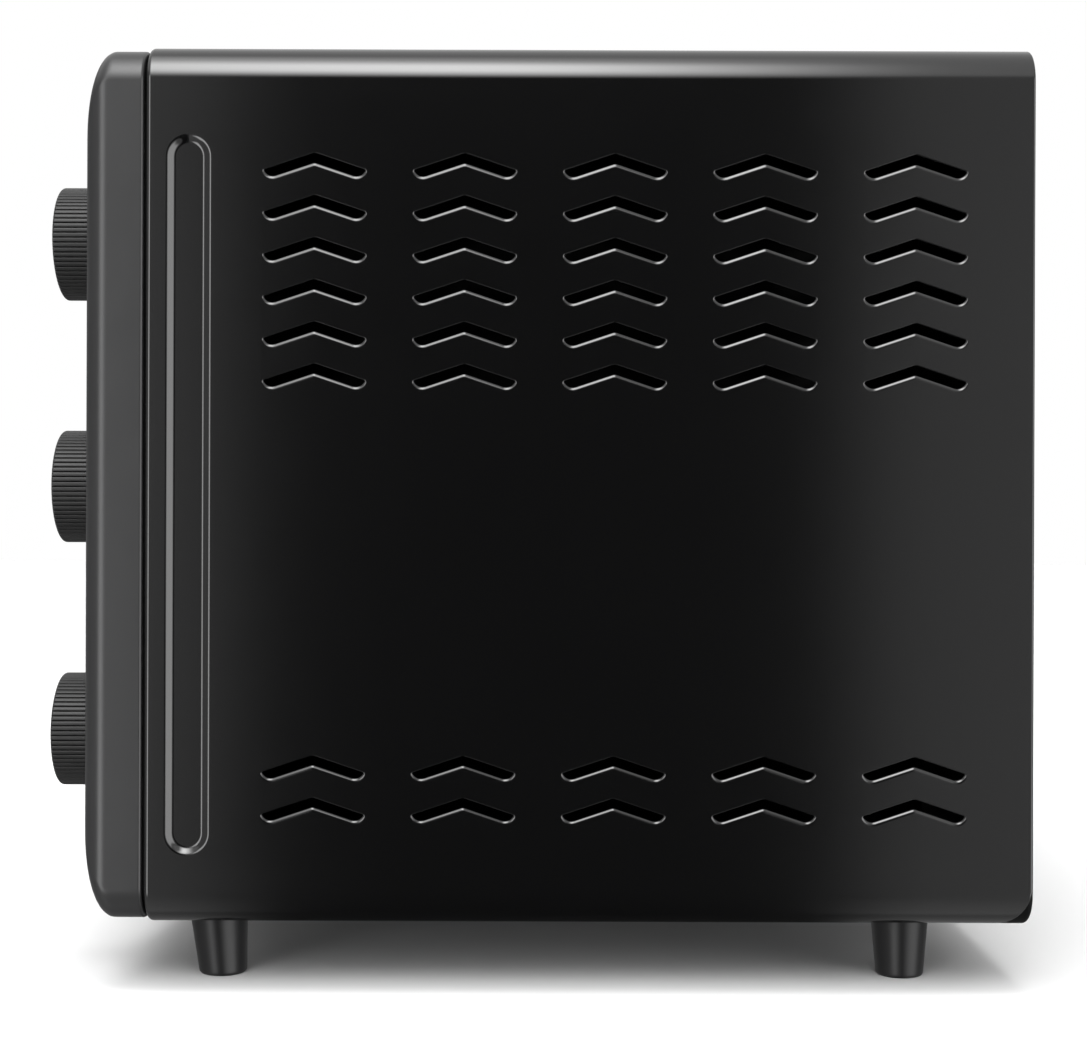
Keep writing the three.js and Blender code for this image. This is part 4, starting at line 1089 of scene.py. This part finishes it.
def area_light(name, place, target, width, height, radiance):
    light = bpy.data.lights.new(name, "AREA")
    light.shape = "RECTANGLE"
    light.size, light.size_y = width, height
    light.energy = radiance * math.pi * width * height
    made = bpy.data.objects.new(name, light)
    made.location = place
    made.rotation_mode = "QUATERNION"
    made.rotation_quaternion = (Vector(target) - Vector(place)).to_track_quat("-Z", "Y")
    bpy.context.collection.objects.link(made)
    made.visible_camera = False
    return made


def studio():
    scene = bpy.context.scene
    scene.view_settings.view_transform = "Standard"
    world = bpy.data.worlds.new("studio")
    scene.world = world
    world.use_nodes = True
    nodes, links = world.node_tree.nodes, world.node_tree.links
    background = nodes["Background"]
    background.inputs["Strength"].default_value = 1.0

    def number(operation, a, b=0.0):
        node = nodes.new("ShaderNodeMath")
        node.operation = operation
        for socket, value in zip(node.inputs, (a, b)):
            if isinstance(value, (int, float)):
                socket.default_value = value
            else:
                links.new(value, socket)
        return node.outputs[0]

    def ramp(value, low, high, start, end):
        node = nodes.new("ShaderNodeMapRange")
        node.interpolation_type = "SMOOTHSTEP"
        for socket, setting in zip(list(node.inputs)[1:5], (low, high, start, end)):
            socket.default_value = setting
        links.new(value, node.inputs["Value"])
        return node.outputs[0]

    # Pale walls and ceiling, parted by a dark stripe that faces the control side. On that side there are a
    # tall softbox towards the front, a wide one towards the rear and a strong one overhead.
    direction = nodes.new("ShaderNodeSeparateXYZ")
    links.new(nodes.new("ShaderNodeTexCoord").outputs["Generated"], direction.inputs[0])
    x, y, z = direction.outputs
    bearing = number("ARCTAN2", y, x)

    def between(value, low, full_low, full_high, high):
        rising = ramp(value, low, full_low, 0.0, 1.0)
        return number("MULTIPLY", rising, ramp(value, full_high, high, 1.0, 0.0))

    def softbox(across, up, radiance):
        return number("MULTIPLY", number("MULTIPLY", between(*across), between(*up)), radiance)

    near = ramp(x, -0.15, 0.15, 0.0, 1.0)
    walls = ramp(x, -0.15, 0.15, FAR_WALL, WALLS)
    walls = number("MULTIPLY", walls, number("SUBTRACT", 1.0, between(y, *STRIPE)))
    walls = number("MULTIPLY", walls, ramp(z, -0.95, -0.3, 1.4, 1.0))
    high = ramp(z, 0.3, 0.55, 0.0, CEILING)
    light = number("ADD", number("MAXIMUM", walls, high), DARK)
    for box in (FRONT_BOX, REAR_BOX):
        light = number("ADD", light, softbox((bearing, *box["bearings"]), (z, *BOX_UP), box["radiance"]))
    key = softbox((y, *KEY["across"]), (z, *KEY["up"]), KEY["radiance"])
    light = number("ADD", light, number("MULTIPLY", key, near))
    seen = nodes.new("ShaderNodeLightPath").outputs["Is Camera Ray"]
    shown = number("ADD", number("MULTIPLY", light, number("SUBTRACT", 1.0, seen)), seen)
    links.new(shown, background.inputs["Color"])

    fill = area_light("overhead", (0.25, -0.1, 1.45), (0.12, -0.05, 0.3), 1.0, 0.75, 7)
    fill.visible_glossy = False

    floor = Shape()
    reach = 6.0
    floor.face(floor.ring([(-reach, -reach, 0), (reach, -reach, 0), (reach, reach, 0), (-reach, reach, 0)]))
    ground = bpy.data.objects.new("floor", floor.finished("floor"))
    ground.data.materials.append(surface("floor_paper", (0.82, 0.82, 0.82), 0.9, mottle=0.01, patch=200 * MM))
    bpy.context.collection.objects.link(ground)
    ground.visible_glossy = False


def camera():
    lens = bpy.data.cameras.new("camera")
    lens.lens, lens.sensor_width = 59.7, 36
    lens.clip_start = 0.01
    made = bpy.data.objects.new("camera", lens)
    made.location = (SHELL_HI.x + 640 * MM, 11.3 * MM, 169.3 * MM)
    level_turn = Matrix.Rotation(math.pi / 2, 4, "Z") @ Matrix.Rotation(math.pi / 2, 4, "X")
    made.rotation_euler = (level_turn @ Matrix.Rotation(math.radians(0.2), 4, "Z")).to_euler()
    bpy.context.collection.objects.link(made)
    bpy.context.scene.camera = made


camera()
studio()
case_shell()
front_bezel()
joint_shade_strip()
feet()
back_cover()
control_panel()
printed_scales()
pilot_lamp()
knobs()
door_skin()
door_pane()
handle_grip()
handle_posts()
door_springs()
elements()
wire_rack()
baking_pan()
crumb_tray_front()
screws()
carried_over()
